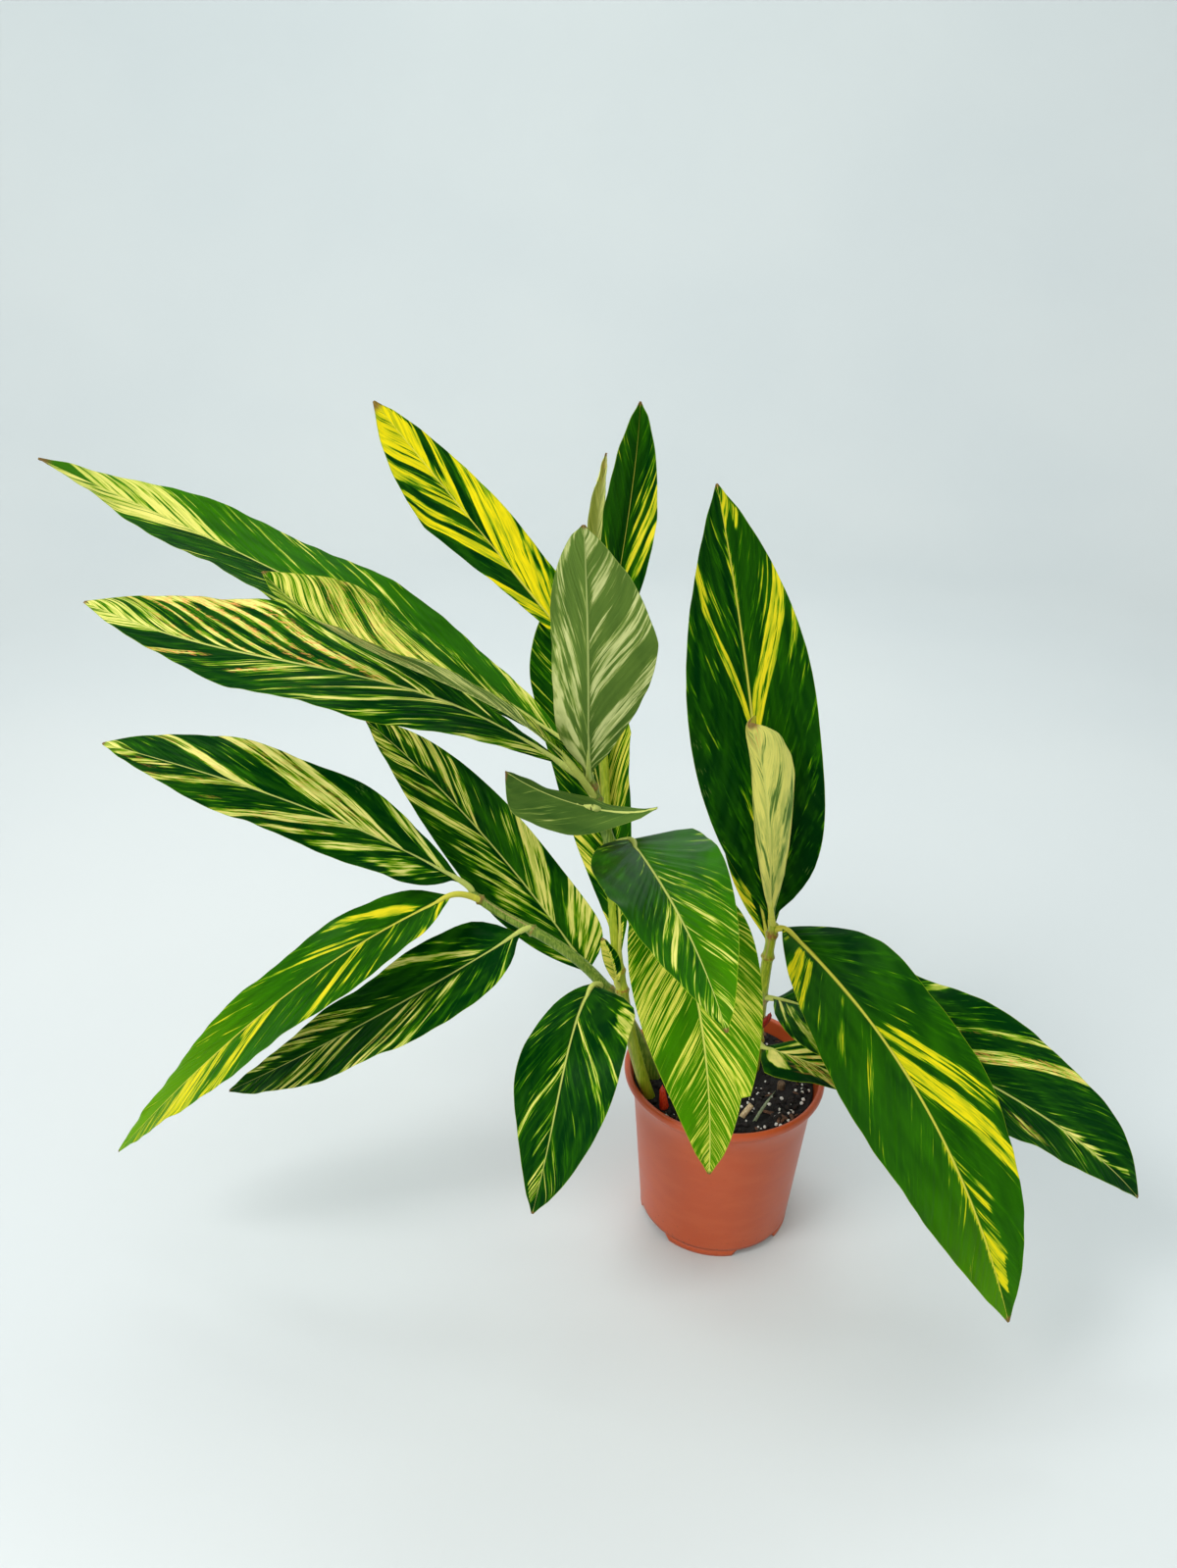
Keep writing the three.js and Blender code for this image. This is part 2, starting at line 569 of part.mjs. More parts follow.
function soilGeometry() {
  const positions = [];
  const index = [];
  const ring = (radius, z, lumpy) => {
    for (let k = 0; k < SOIL_SIDES; k++) {
      const angle = 2 * Math.PI * k / SOIL_SIDES;
      const x = radius * Math.cos(angle);
      const y = radius * Math.sin(angle);
      positions.push(x, y, lumpy ? soilHeight(x, y) : z);
    }
  };
  const floorTop = POT_FLOOR_Z + POT_FLOOR_THICKNESS + GAP;
  const sideGap = 2 * GAP;
  [floorTop, POT_COLLAR_Z, 118].forEach((z) => ring(potInnerRadius(z) - sideGap, z, false));
  const topRadius = potInnerRadius(SOIL_TOP_Z - 2) - sideGap;
  [1, 0.82, 0.62, 0.4, 0.2].forEach((share) => ring(topRadius * share, 0, true));
  const rings = positions.length / 3 / SOIL_SIDES;
  const centre = rings * SOIL_SIDES;
  positions.push(0, 0, floorTop, 0, 0, soilHeight(0, 0));
  for (let k = 0; k < SOIL_SIDES; k++) {
    const next = (k + 1) % SOIL_SIDES;
    index.push(centre, next, k);
    for (let i = 0; i < rings - 1; i++) {
      const [a, b] = [i * SOIL_SIDES + k, i * SOIL_SIDES + next];
      index.push(a, b, b + SOIL_SIDES, a, b + SOIL_SIDES, a + SOIL_SIDES);
    }
    index.push(centre + 1, (rings - 1) * SOIL_SIDES + k, (rings - 1) * SOIL_SIDES + next);
  }
  const geometry = new THREE.BufferGeometry();
  geometry.setAttribute('position', new THREE.Float32BufferAttribute(positions, 3));
  geometry.setIndex(index);
  return geometry;
}

function makeSoil(holes) {
  const soil = holes.reduce((rest, hole) => rest.subtract(hole), toSolid(soilGeometry()));
  return namedMesh('soil', fromSolid(largestBody(soil)), material(0x2b2019, 0.95));
}

// The knobbly rootstock that the canes stand on, inside the soil.
function rhizomeGeometry(extra = 0) {
  const points = [];
  const radii = [];
  const steps = 14;
  for (let i = 0; i <= steps; i++) {
    points.push(curvePoint(RHIZOME_ROUTE, i / steps));
    radii.push(RHIZOME_RADIUS + (i % 2 === 0 ? 0.6 : -0.6) + extra);
  }
  return tubeGeometry(points, radii);
}

const part = new THREE.Group();
part.name = 'potted_variegated_shell_ginger';

const caneHoles = {};
for (const side of Object.keys(CANES)) {
  caneHoles[side] = toSolid(caneGeometry(side, GAP));
  part.add(makeCane(side));
}
for (const leaf of LEAVES) {
  part.add(makeLeaf(leaf, caneHoles));
}
for (const shoot of SHOOTS) {
  part.add(namedMesh(shoot.name, routeTube(shoot.route, shoot.radii, 4), material(shoot.colour, 0.6)));
}
const shootHoles = SHOOTS.map((shoot) => toSolid(routeTube(shoot.route, shoot.radii, 4, GAP)));
const sockets = Object.values(caneHoles);
const rhizome = sockets.reduce((rest, socket) => rest.subtract(socket), toSolid(rhizomeGeometry()));
part.add(namedMesh('rhizome', fromSolid(rhizome), material(0xb08a5c, 0.8)));
part.add(makeSoil([...sockets, ...shootHoles, toSolid(rhizomeGeometry(GAP))]));
part.add(makePot());

export default part;
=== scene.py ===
import math
import random

import bpy
import numpy as np
from mathutils import Matrix, Vector


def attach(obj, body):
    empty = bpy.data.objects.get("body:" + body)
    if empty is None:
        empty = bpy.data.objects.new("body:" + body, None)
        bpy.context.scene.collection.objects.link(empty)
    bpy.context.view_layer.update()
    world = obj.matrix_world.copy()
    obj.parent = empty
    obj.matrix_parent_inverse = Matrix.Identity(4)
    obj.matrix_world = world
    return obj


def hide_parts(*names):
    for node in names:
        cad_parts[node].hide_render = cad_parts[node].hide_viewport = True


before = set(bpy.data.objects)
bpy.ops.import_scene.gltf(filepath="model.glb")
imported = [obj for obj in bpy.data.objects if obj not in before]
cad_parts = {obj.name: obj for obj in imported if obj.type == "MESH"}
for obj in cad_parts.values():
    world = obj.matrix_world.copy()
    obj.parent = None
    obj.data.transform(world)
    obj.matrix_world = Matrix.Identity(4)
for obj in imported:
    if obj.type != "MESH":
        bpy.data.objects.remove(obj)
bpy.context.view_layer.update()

# The model is in millimetres here and scaled to metres when each mesh is made.
MM = 0.001

# Canes: centre line through four points, radii at foot and top, rough length, the heights of the
# leaf nodes, and whether the skin is the yellow one.
CANES = {
    "front": dict(
        route=[(-28, -10, 74), (-43, -34, 187), (-67, -57, 296), (-96, -75, 405)],
        radii=(5.2, 4), length=345, nodes=(332, 352, 370, 386, 395), seed=1, yellow=False,
    ),
    "back": dict(
        route=[(-36, -23, 74), (-74, -30, 206), (-90, -22, 334), (-103, -11, 460)],
        radii=(4.6, 3.4), length=395, nodes=(216, 232, 441, 459), seed=2, yellow=True,
    ),
    "left": dict(
        route=[(-39, -2, 74), (-86, -20, 205), (-138, -24, 252), (-185, -26, 282)],
        radii=(4.8, 3.4), length=260, nodes=(207, 254, 276), seed=3, yellow=False,
    ),
    "right": dict(
        route=[(20, 22, 74), (22, 12, 142), (23, 3, 206), (26, -4, 266)],
        radii=(5.4, 4.2), length=192, nodes=(156, 198, 238, 258), seed=4, yellow=True,
    ),
}

# Leaves, named after their canes. A value given twice is for the left and the right side.
#   node: height on the cane where the petiole starts
#   rib: the midrib, through four points
#   half: half width
#   face: direction of the upper side, the same all along or at base, middle and tip
#   fold, curl: how far a side is raised from flat, and how far it is rolled, in degrees
#   wave: height, number and start of the waves of the edge
#   peak, swell, taper: where a side is widest, and how full it is before and after that
#   stalk, join: share of the midrib without a blade, and where the petiole meets the midrib
#   tear: the side and place where the edge is cut back
#   veins: how far a side vein travels along the blade for its width, at base and tip
#   look: how pale the blade is between its marks, and how yellow its pale parts are
#   green: how bright the green is, at base and tip: partly the blade's own lighter green, partly painted
#       light shining through it
#   left, right: bands along a side's veins, as place on the midrib, half width and strength, cream
#     above 0 and green below. One or two values before the strength say from, and to, which share
#     of the side's width a band goes.
#   fineness, rib_width: how close the finest streaks are, and half the width of the pale midrib
#   spots: the places between which there are orange flecks, and how strong they are
#   dry: length of the brown tip
#   dull: whether the upper side looks like the underside
# Where veins or green have one number for a side, it holds at base and tip.
LEAF_DEFAULTS = dict(
    fold=(10, 10), curl=(0, 0), wave=(2, 2, 0.2), peak=(0.42, 0.42), swell=(2, 2), taper=(1.9, 1.9),
    stalk=0.04, join=0.01, tear=(None, 0), fineness=1, rib_width=1.2, spots=(0, 1, 0), dry=2.5, dull=False,
    slot="cream",
)
LEAVES = {
    "front_1": dict(
        node=332, rib=[(-63, -62, 333), (-33, -140, 344), (-12, -200, 316), (-3, -225, 246)], half=(36, 33),
        face=[(0, -0.2, 1), (0, -0.4, 0.9), (0, -1, 0.4)], wave=(3, 2, 0.2), peak=(0.42, 0.5),
        swell=(2, 1.8), taper=(1.9, 1.7), tear=(0, 186), veins=((1.6, 1.7), (1.6, 1.7)), fineness=1.7,
        rib_width=1.8, look=(-0.1, 0.5), green=((0.5, 0.75), (0.4, 0.7)), slot="yellow",
        left=[(100, 20, 0.15), (150, 12, 0.1)],
        right=[(98, 14, 0.35), (133, 8, -0.7), (150, 7, 0.1, 0.2), (182, 12, 0.5, -0.3),
            (218, 14, 0, 0.6, 0.3)],
    ),
    "front_2": dict(
        node=352, rib=[(-69, -70, 359), (-46, -145, 379), (-22, -215, 388), (0, -272, 377)], half=(38, 34),
        face=[(0, -0.2, 1)], fold=(12, 12), peak=(0.2, 0.4), swell=(5, 2.8), taper=(1.8, 1.6), stalk=0,
        veins=((3.4, 3.8), 5), fineness=1.7, look=(-0.4, 0.15), green=((0.4, 0.65), (0.1, 0.4)),
        left=[(20, 25, -0.2), (72, 6, 0, 0.6, 0.3), (106, 5, 0, 0.6, 0.2), (200, 14, 0.15)],
        right=[(40, 45, -0.4), (106, 6, 0.1, 0.6, 0.3), (128, 7, 0, 0.8, 0.95), (176, 7, 0.6, 0.7),
            (206, 12, 0, 0.6, 0.6)],
    ),
    "front_3": dict(
        node=370, rib=[(-52, -94, 395), (-79, -92, 389), (-111, -98, 398), (-139, -106, 416)],
        half=(26, 14), face=[(0, 0.5, 0.85)], fold=(-55, 25), wave=(1, 2, 0.3), peak=(0.75, 0.6),
        swell=(1.3, 1.5), taper=(4, 2), join=0.42, veins=(2, 2), look=(-0.8, 0.3), green=(0.2, 0.2),
        dull=True, slot="grey",
        left=[(40, 6, 0.2, 0.9, 0.4)],
        right=[(30, 6, 0.1, 0.9, 0.4)],
    ),
    "front_4": dict(
        node=386, rib=[(-101, -90, 413), (-150, -116, 464), (-211, -126, 493), (-269, -118, 529)],
        half=(28, 38), face=[(0.2, -0.3, 0.9), (0.2, 0.2, 0.9), (0.2, -0.3, 0.9)],
        fold=((20, 30, 30), (20, 30, 10)), wave=(3, 2, 0.3), peak=(0.5, 0.7), swell=(2, 0.8), taper=(2, 2),
        veins=(2, (2, 2.6)), fineness=1.5, look=(-0.12, 0.3), green=((0.1, 0.25), (0.12, 0.3)),
        spots=(85, 150, 0.35),
        left=[(60, 8, 0.4), (120, 25, 0.25)],
        right=[(40, 12, 0.2, 0.3), (70, 6, 0.3, 0.8, -0.8), (135, 60, 0.05, 0.3), (115, 3, 0.3, 0.9, -0.5),
            (150, 2, 0.2, 0.9, -0.4)],
    ),
    "front_5": dict(
        node=395, rib=[(-102, -76, 403), (-199, -95, 458), (-295, -92, 471), (-402, -82, 493)],
        half=(30, 38), face=[(0, -0.45, 0.95)], fold=(5, 8), wave=(3, 3, 0.3), peak=(0.45, 0.62),
        swell=(2.3, 0.9), taper=(1.9, 2.6), veins=((3.2, 3.6), (1.8, 5)), fineness=1.25, look=(-0.65, 0.1),
        green=((0.03, 0.05), (0.05, 0.1)), spots=(120, 240, 1),
        left=[(22, 9, 0.3, 0.8), (88, 4, 0, 0.9, 1), (110, 3, 0, 0.9, 0.9), (136, 4, 0.1, 0.7, 0.5),
            (165, 6, 0.1, 0.6, 0.8), (186, 10, 0.1, 0.7, 0.5), (212, 7, 0.3, 0.9), (246, 20, -0.3),
            (296, 27, 1.1)],
        right=[(58, 3, 0.4, 0.8), (102, 5, 0.9), (127, 7, 1), (148, 4, 0.8), (163, 5, 1.1),
            (183, 3, 0, 0.9, 0.9), (200, 4, 0.9), (216, 3, 0.8), (246, 13, 1), (292, 30, 1.1),
            (165, 50, 0.84, 1.3)],
    ),
    "front_6": dict(
        node=399, rib=[(-101, -62, 409), (-221, -35, 468), (-348, -20, 519), (-443, -40, 568)],
        half=(34, 33), face=[(0.2, -0.25, 0.95)], fold=(12, 12), wave=(3, 3, 0.1), peak=(0.44, 0.46),
        veins=((3.2, 3.6), (2.8, 3.4)), look=(-0.7, 0.2), green=((0.05, 0.15), (0.4, 0.6)), dry=9,
        left=[(40, 14, 0.2, 0.4), (115, 4, 0.3, 0.8), (325, 52, 1.3), (338, 10, 0.15, 0.4, -0.7)],
        right=[(30, 12, 0.2, 0.7), (103, 3, 0.3, 1), (150, 4, 0.4, 0.8), (186, 3, 0.3, 0.8),
            (258, 6, 0, 0.9, 0.6), (306, 42, 1.3)],
    ),
    "front_7": dict(
        node=404, rib=[(-95, -76, 400), (-90, -114, 468), (-86, -148, 528), (-83, -180, 578)],
        half=(35, 19), face=[(0, 1, 0.3)], wave=(2, 2, 0.3), peak=(0.53, 0.42), swell=(2, 5.5),
        taper=(1.2, 2.8), veins=((2.2, 4.2), (8, 10)), fineness=1.5, look=(-0.5, 0),
        green=((0.55, 0.65), (0.55, 0.65)), slot="grey",
        left=[(12, 8, 0.2, 0.5), (32, 8, 0.15, 1), (52, 9, 0.1, -0.3), (80, 17, 0.05, 0.8),
            (117, 3, 0, 0.3, 0.5), (150, 10, 0.1, 0.8), (192, 13, 0.8)],
        right=[(12, 10, 0.3, 0.7), (45, 22, 0.2, 0.9, 0.75), (84, 12, 0.6, 0.8), (135, 45, 0.75, 0.8)],
    ),
    "back_1": dict(
        node=216, rib=[(-79, -34, 223), (-81, -42, 244), (-84, -48, 260), (-88, -50, 271)], half=(4, 5),
        face=[(0, -1, 0.3)], fold=(20, 20), wave=(0, 2, 0.2), veins=(2, 2), look=(0.5, 0.5),
        green=(0.3, 0.1), slot="yellow",
        left=[(25, 25, 0.2, 0.4)],
        right=[(30, 20, 0.3, -1.2)],
    ),
    "back_2": dict(
        node=232, rib=[(-79, -30, 236), (-88, -20, 329), (-112, 0, 411), (-127, 10, 495)], half=(27, 29),
        face=[(0, -1, 0.2)], peak=(0.75, 0.58), swell=(2.8, 0.8), taper=(1.9, 2.3), veins=(1.7, 1.7),
        look=(-0.5, 0.6), green=(0.15, 0.3), slot="yellow",
        left=[(16, 12, 0.3, 0.9), (62, 14, 0.5, 0.9), (40, 6, -0.4), (164, 2, 0.2, 0.4), (181, 2, 0.2, 0.4),
            (198, 2, 0.2, 0.4)],
        right=[(24, 9, 0, 0.6, 0.9), (112, 22, 0.3, 0.55)],
    ),
    "back_3": dict(
        node=450, rib=[(-109, -14, 455), (-150, -17, 505), (-192, -18, 555), (-233, -25, 607)],
        half=(26, 20), face=[(0.5, -0.8, 0.5)], wave=(1.5, 2, 0.2), peak=(0.62, 0.25), swell=(1, 1.8),
        taper=(2.1, 3), veins=((2.2, 2.4), (4.4, 4.6)), look=(0, 1), green=(0.1, 0.1), dry=7, slot="yellow",
        left=[(30, 14, 0.2, 0.4), (60, 13, -1), (77, 6, 1), (86, 3, -0.9), (92, 4, 0.9), (102, 6, -1),
            (116, 8, 0.6), (132, 4, 0.1, -0.7), (150, 13, 0.8), (165, 3, 0.2, 0.8, -0.5), (180, 16, 1)],
        right=[(52, 30, 0.75), (45, 2, 0.1, -0.6), (95, 11, -1.1), (113, 6, 1), (125, 5, 0.2, -1),
            (140, 10, 0.3, -0.6), (165, 26, 0, 0.8, 1)],
    ),
    "back_4": dict(
        node=441, rib=[(-98, -17, 445), (-89, -18, 503), (-81, -22, 563), (-77, -30, 613)], half=(17, 16),
        face=[(0.3, -1, 0)], fold=(30, 30), wave=(1.5, 2, 0.2), peak=(0.6, 0.5), veins=((3, 4), 5.5),
        look=(-0.85, 0.9), green=((0.05, 0.35), (0.15, 0.2)), slot="yellow",
        left=[(20, 8, 0.2, 0.5)],
        right=[(30, 5, 0.2, 1.4), (50, 8, 0.1, 1.5), (71, 3, 0.2, 1), (92, 13, 0.2, 0.6),
            (130, 20, 0.3, 0.2)],
    ),
    # Partly its own pale colour, partly painted light: the high look and green values brighten a blade that
    # sits in shade.
    "back_5_furled": dict(
        node=459, rib=[(-105, -8, 467), (-105, -2, 505), (-104, 2, 543), (-100, 2, 579)], half=(10, 10),
        face=[(0, -1, 0)], fold=(25, 25), curl=(80, 80), wave=(0, 2, 0.2), veins=(4, 4), look=(1.2, 0.2),
        green=(0.8, 0.8), spots=(100, 115, 0.8), dull=True,
        left=[(95, 16, 0.5, 0.9)],
        right=[(60, 50, 0.8, 1)],
    ),
    "left_1": dict(
        node=211, rib=[(-96, -32, 219), (-103, -80, 209), (-107, -118, 176), (-118, -140, 107)],
        half=(38, 29), face=[(0, -0.3, 0.9), (0, -0.6, 0.8), (0, -0.9, 0.3)], wave=(3, 2, 0.2),
        peak=(0.3, 0.54), swell=(5, 2), taper=(2.6, 1.7), stalk=0, veins=((2, 3.6), (2, 2.6)), fineness=1.4,
        look=(-0.85, 0.2), green=((0.02, 0.1), (0.05, 0.1)),
        left=[(8, 6, 0.7, 0.9), (22, 2, 0.3, 0.7), (34, 3, 0.9), (68, 2, 0, 0.6, 0.6), (90, 2, 0.3, 0.4),
            (130, 24, 0.2, 0.9, 0.3)],
        right=[(25, 18, 0.2, 0.1), (57, 3, 0, 0.7, 0.8), (67, 4, 1), (90, 3, 0, 0.6, 0.4),
            (101, 8, 0, 0.5, 0.6), (142, 16, 0, 0.8, 0.8)],
    ),
    "left_2": dict(
        node=203, rib=[(-99, -6, 204), (-151, 15, 261), (-213, 35, 319), (-279, 45, 374)], half=(32, 27),
        face=[(0.3, -0.8, 0.5)], peak=(0.4, 0.25), swell=(2.2, 5.5), taper=(2, 4.2),
        veins=((2.4, 5.4), (1.8, 3.6)), look=(-0.5, 0.2), green=((0.15, 0.08), (0.3, 0.03)),
        spots=(120, 240, 0.25),
        left=[(25, 20, 0.2, 0.3), (60, 20, 0.1, 0.7, 0.35), (90, 3, 0.1, 0.5), (101, 2, 0.1, 0.5),
            (116, 9, 0.1, 0.9), (133, 8, -0.3), (152, 10, 0.1, 0.6), (174, 6, -0.3),
            (191, 10, 0.1, 0.9, 0.8), (222, 15, 0.1, 0.9, 0.6)],
        right=[(20, 13, 0.2, 0.7), (42, 6, -0.5), (60, 10, 1.1), (80, 2, 0.7), (89, 2, 0.7),
            (112, 20, -0.5), (138, 3, 0, 0.9, 0.9), (160, 6, 0.1, 0.8), (180, 8, 0.2, 0.8),
            (202, 11, 0.4, 0.8)],
    ),
    "left_3": dict(
        node=254, rib=[(-145, -26, 257), (-202, -63, 228), (-270, -88, 189), (-350, -95, 137)],
        half=(34, 30), face=[(-0.2, -0.5, 0.8), (-0.3, -0.5, 0.8), (-0.4, -0.5, 0.6)], wave=(2, 3, 0.2),
        peak=(0.3, 0.25), swell=(2.9, 3.3), taper=(2.6, 1.9), veins=((2, 2.2), (3.4, 4)), look=(-0.75, 0.1),
        green=((0.03, 0.08), (0.05, 0.15)), spots=(60, 200, 0.2),
        left=[(12, 4, 0.2, 0.7), (50, 4, 0.1, 1), (62, 3, 0.1, 0.9), (74, 4, 0.05, 1.1), (88, 4, 0.1, 1),
            (126, 4, 0.1, 1), (140, 4, 1.1), (154, 4, 1.1), (166, 4, 0.1, 1), (225, 8, 0.2, 0.8, 0.4)],
        right=[(30, 4, 0.1, 1.2), (95, 7, 0.3, 0.8), (118, 12, 0.3, 0.95), (150, 16, 0.35, 0.9),
            (190, 20, 0.45, 0.7), (226, 12, 0.5, 0.4)],
    ),
    "left_4": dict(
        node=274, rib=[(-191, -36, 286), (-250, -85, 266), (-325, -118, 208), (-426, -125, 95)],
        half=(31, 24), face=[(-0.2, -0.5, 0.8), (-0.3, -0.5, 0.8), (-0.4, -0.5, 0.6)], wave=(2, 3, 0.2),
        peak=(0.5, 0.4), swell=(3.6, 5), taper=(2, 2.2), veins=(2, 4.4), look=(-0.75, 0.95),
        green=((0.15, 0.85), (0.25, 0.95)), slot="yellow",
        left=[(12, 6, 0.2, 1.2), (46, 3, 0.5), (58, 3, 0.3, 0.8), (72, 4, 1.1), (152, 14, 1.3),
            (164, 6, 0.2, 0.7, -1.3), (206, 28, 1.3), (265, 30, 0.4)],
        right=[(28, 5, 0.1, 0.9, 1.2), (42, 3, 0.8), (55, 3, 0, 0.7, 0.7), (65, 3, 0.1, 0.8)],
    ),
    "left_5": dict(
        node=281, rib=[(-187, -26, 287), (-256, -45, 334), (-335, -55, 366), (-429, -50, 384)],
        half=(26, 30), face=[(0, -0.5, 0.8)], wave=(3, 3, 0.2), peak=(0.5, 0.5), swell=(5.5, 2.3),
        taper=(2, 2.6), veins=((2.6, 4.8), (2.6, 6.2)), look=(-0.7, 0.05), green=((0.03, 0.05), 0.05),
        spots=(60, 240, 0.3),
        left=[(25, 13, 0.2, 0.8, 0.7), (50, 6, 0.1, 0.9, 0.9), (68, 5, 0.4, 0.9, 0.9), (78, 4, -0.4),
            (92, 9, 1.1), (125, 4, 0.6, 0.8, 1), (128, 6, 0, 0.2, 0.6), (167, 11, 1),
            (216, 24, 0.1, 0.7, 0.9), (252, 16, 0.9)],
        right=[(22, 5, 0.1, 0.9), (40, 10, -0.4), (61, 11, 1.1), (82, 13, 0.85), (102, 6, 0.5, 0.9, 0.4),
            (153, 10, 1.2), (250, 14, 1)],
    ),
    "right_1": dict(
        node=156, rib=[(27, -4, 159), (53, -22, 167), (82, -35, 166), (111, -42, 159)], half=(16, 24),
        face=[(0, -0.3, 1)], wave=(1, 2, 0.2), peak=(0.4, 0.2), taper=(1.9, 1.2), veins=(3, 3.5),
        look=(0.05, 0.15), green=(0, 0), spots=(20, 70, 0.9),
        left=[(30, 40, -0.9), (9, 2, 1.2), (17, 3, 1.6), (28, 3, 1.6), (40, 4, 1.4)],
        right=[(35, 34, 0, 0.75, 0.2), (14, 14, 0.6, -1.3)],
    ),
    "right_2": dict(
        node=198, rib=[(28, 0, 201), (97, -42, 215), (194, -65, 187), (280, -70, 123)], half=(52, 46),
        face=[(0.1, -0.3, 1), (0.2, -0.3, 1), (0.3, -0.5, 0.6)], fold=(14, 10), wave=(3, 3, 0.2),
        peak=(0.36, 0.42), swell=(3.4, 3), taper=(2.8, 1.2), veins=((2.8, 3.2), 2.4), look=(-0.75, 0.15),
        green=((0.02, 0.04), (0.02, 0.04)), spots=(80, 220, 0.6),
        left=[(30, 6, 0.2, 0.7), (72, 5, 0.3, 1), (110, 10, 0.2, 1.05), (262, 7, 0.15, 0.5, 0.9),
            (235, 20, 0, 0.12, 1)],
        right=[(18, 10, 0.2, 0.8), (90, 9, 0.1, 0.9, 0.8), (152, 12, 0.4, 0.8, 0.8),
            (235, 20, 0, 0.1, 0.9)],
    ),
    "right_3": dict(
        node=238, rib=[(24, 14, 238), (9, 22, 291), (-9, 28, 356), (-22, 32, 426)], half=(15, 22),
        face=[(0, -1, 0.2)], wave=(1, 2, 0.2), veins=(3, 3), look=(-0.75, 0.9),
        green=((0.05, 0.1), (0.05, 0.1)), slot="yellow",
        left=[(16, 14, 0.4, 1.4), (90, 4, 0.1, 0.8)],
        right=[(14, 6, 0.3, 0.8), (120, 5, 0.8)],
    ),
    "right_4": dict(
        node=260, rib=[(33, -10, 268), (82, -85, 261), (137, -130, 201), (191, -150, 82)], half=(42, 47),
        face=[(0, -0.3, 1), (0.2, -0.6, 0.8), (0.3, -0.8, 0.4)], fold=(8, 10), wave=(2, 3, 0.2),
        peak=(0.53, 0.48), swell=(5.5, 1.6), taper=(2.4, 2.1), stalk=0, veins=((1.7, 3), (1.3, 1.6)),
        rib_width=1.6, look=(-0.85, 1), green=((0.05, 0.6), (0.2, 0.75)), dry=6, slot="yellow",
        left=[(95, 4, 0.2, 1.2), (105, 5, 0, 0.9, 1.1), (111, 3, -0.4), (130, 13, 1.6),
            (192, 4, 0.02, 0.4, 1.1), (206, 4, 0.02, 0.35, 1.1), (222, 5, 0.02, 0.4, 1.1),
            (238, 6, 0.02, 0.5, 1.1), (262, 20, 0.02, 0.4, 2.2)],
        right=[(9, 6, 0.4, 0.9, 0.8), (30, 5, 0.2, 1.4), (40, 3, 0.2, 1.2), (72, 2, 0.1, 0.9, 0.9),
            (97, 2, 0.2, 0.9, 0.7), (240, 60, 0, 0.07, 1.4)],
    ),
    "right_5": dict(
        node=252, rib=[(25, 8, 252), (8, 8, 363), (-11, 6, 466), (-33, -8, 566)], half=(41, 41),
        face=[(0.1, -1, 0.2)], wave=(2, 3, 0.2), peak=(0.46, 0.46), swell=(2.2, 5), taper=(1.9, 2),
        veins=((5, 7.5), (3.6, 5.6)), rib_width=2, look=(-0.8, 0.95), green=((0.04, 0.15), (0.04, 0.3)),
        slot="yellow",
        left=[(60, 3, 0.1, 0.9, 0.35), (101, 2, 0.1, 0.9, 0.4), (140, 9, 0, 0.8, 1.4), (153, 10, 0.6, 1.4),
            (270, 40, 0, 0.08, 0.8)],
        right=[(85, 3, 0.1, 0.9, 0.4), (102, 9, 0.6, 0.5), (146, 16, 1.5), (173, 3, 0.3, 0.8),
            (191, 6, 0.5, 0.9, 0.6), (272, 14, 0.4, 0.9, 0.8), (300, 14, 0.7), (270, 40, 0, 0.08, 0.8)],
    ),
    # Partly its own pale yellow, partly painted light: the high look and green values brighten a blade that
    # the key light barely reaches.
    "right_6_furled": dict(
        node=265, rib=[(25, -5, 267), (19, -20, 324), (12, -34, 381), (-2, -44, 432)], half=(25, 28),
        face=[(0, 1, 0.3), (0.1, 1, 0.3), (0.5, 1, 0.2)], curl=(110, 110), wave=(0, 2, 0.2),
        peak=(0.6, 0.8), swell=(2.3, 2.8), taper=(2.5, 4.2), veins=(9, 9), look=(1.15, 0.7),
        green=(0.55, 0.55), spots=(150, 178, 0.8), dry=6, slot="yellow",
        left=[(33, 13, 0, 0.8, -1), (85, 22, 0.1, 0.8, -0.75)],
        right=[(40, 8, 0.3, 0.9, -0.8), (78, 9, 0.3, 0.9, -0.7)],
    ),
}
LEAVES = {name: {**LEAF_DEFAULTS, **leaf} for name, leaf in LEAVES.items()}

# Small things that stand in the soil, and the bud on the right cane: route from foot to top, radii
# there, slot, and the skin's name, two colours and roughness. Some are flattened, and some are blunt.
SHOOTS = {
    "shoot_red": dict(
        route=[(-38, -39, 100), (-40, -39, 116), (-42, -38, 130), (-43, -37, 141)], radii=(5.4, 1.6),
        slot="shoot_red",
        skin=("shoot_red_skin", (206, 36, 12), (236, 84, 36), 0.36),
    ),
    "bud": dict(
        route=[(24, 5, 172), (27, 2, 178), (29, -1, 184), (30, -2, 190)], radii=(3.2, 1.2),
        slot="shoot_red",
        skin=("bud_skin", (122, 16, 14), (166, 40, 26), 0.36),
    ),
    "sheath_stub": dict(
        route=[(10, -42, 100), (12, -42, 112), (15, -41, 122), (22, -37, 133)], radii=(2.6, 2),
        flatten=0.6, blunt=True, slot="dry_sheath",
        skin=("dry_sheath", (176, 150, 108), (214, 196, 156), 0.7),
    ),
    "cane_stub": dict(
        route=[(42, -4, 100), (42, -4, 110), (43, -4, 120), (43, -5, 129)], radii=(3.2, 2.8),
        flatten=0.9, blunt=True, slot="dry_sheath",
        skin=("dry_stub", (74, 54, 36), (120, 96, 66), 0.8),
    ),
    "shoot_grey": dict(
        route=[(19, -50, 100), (21, -48, 112), (26, -43, 126), (38, -31, 143)], radii=(1.8, 0.9),
        flatten=0.5, slot="shoot_green",
        skin=("shoot_green_skin", (92, 106, 78), (132, 142, 104), 0.5),
    ),
}

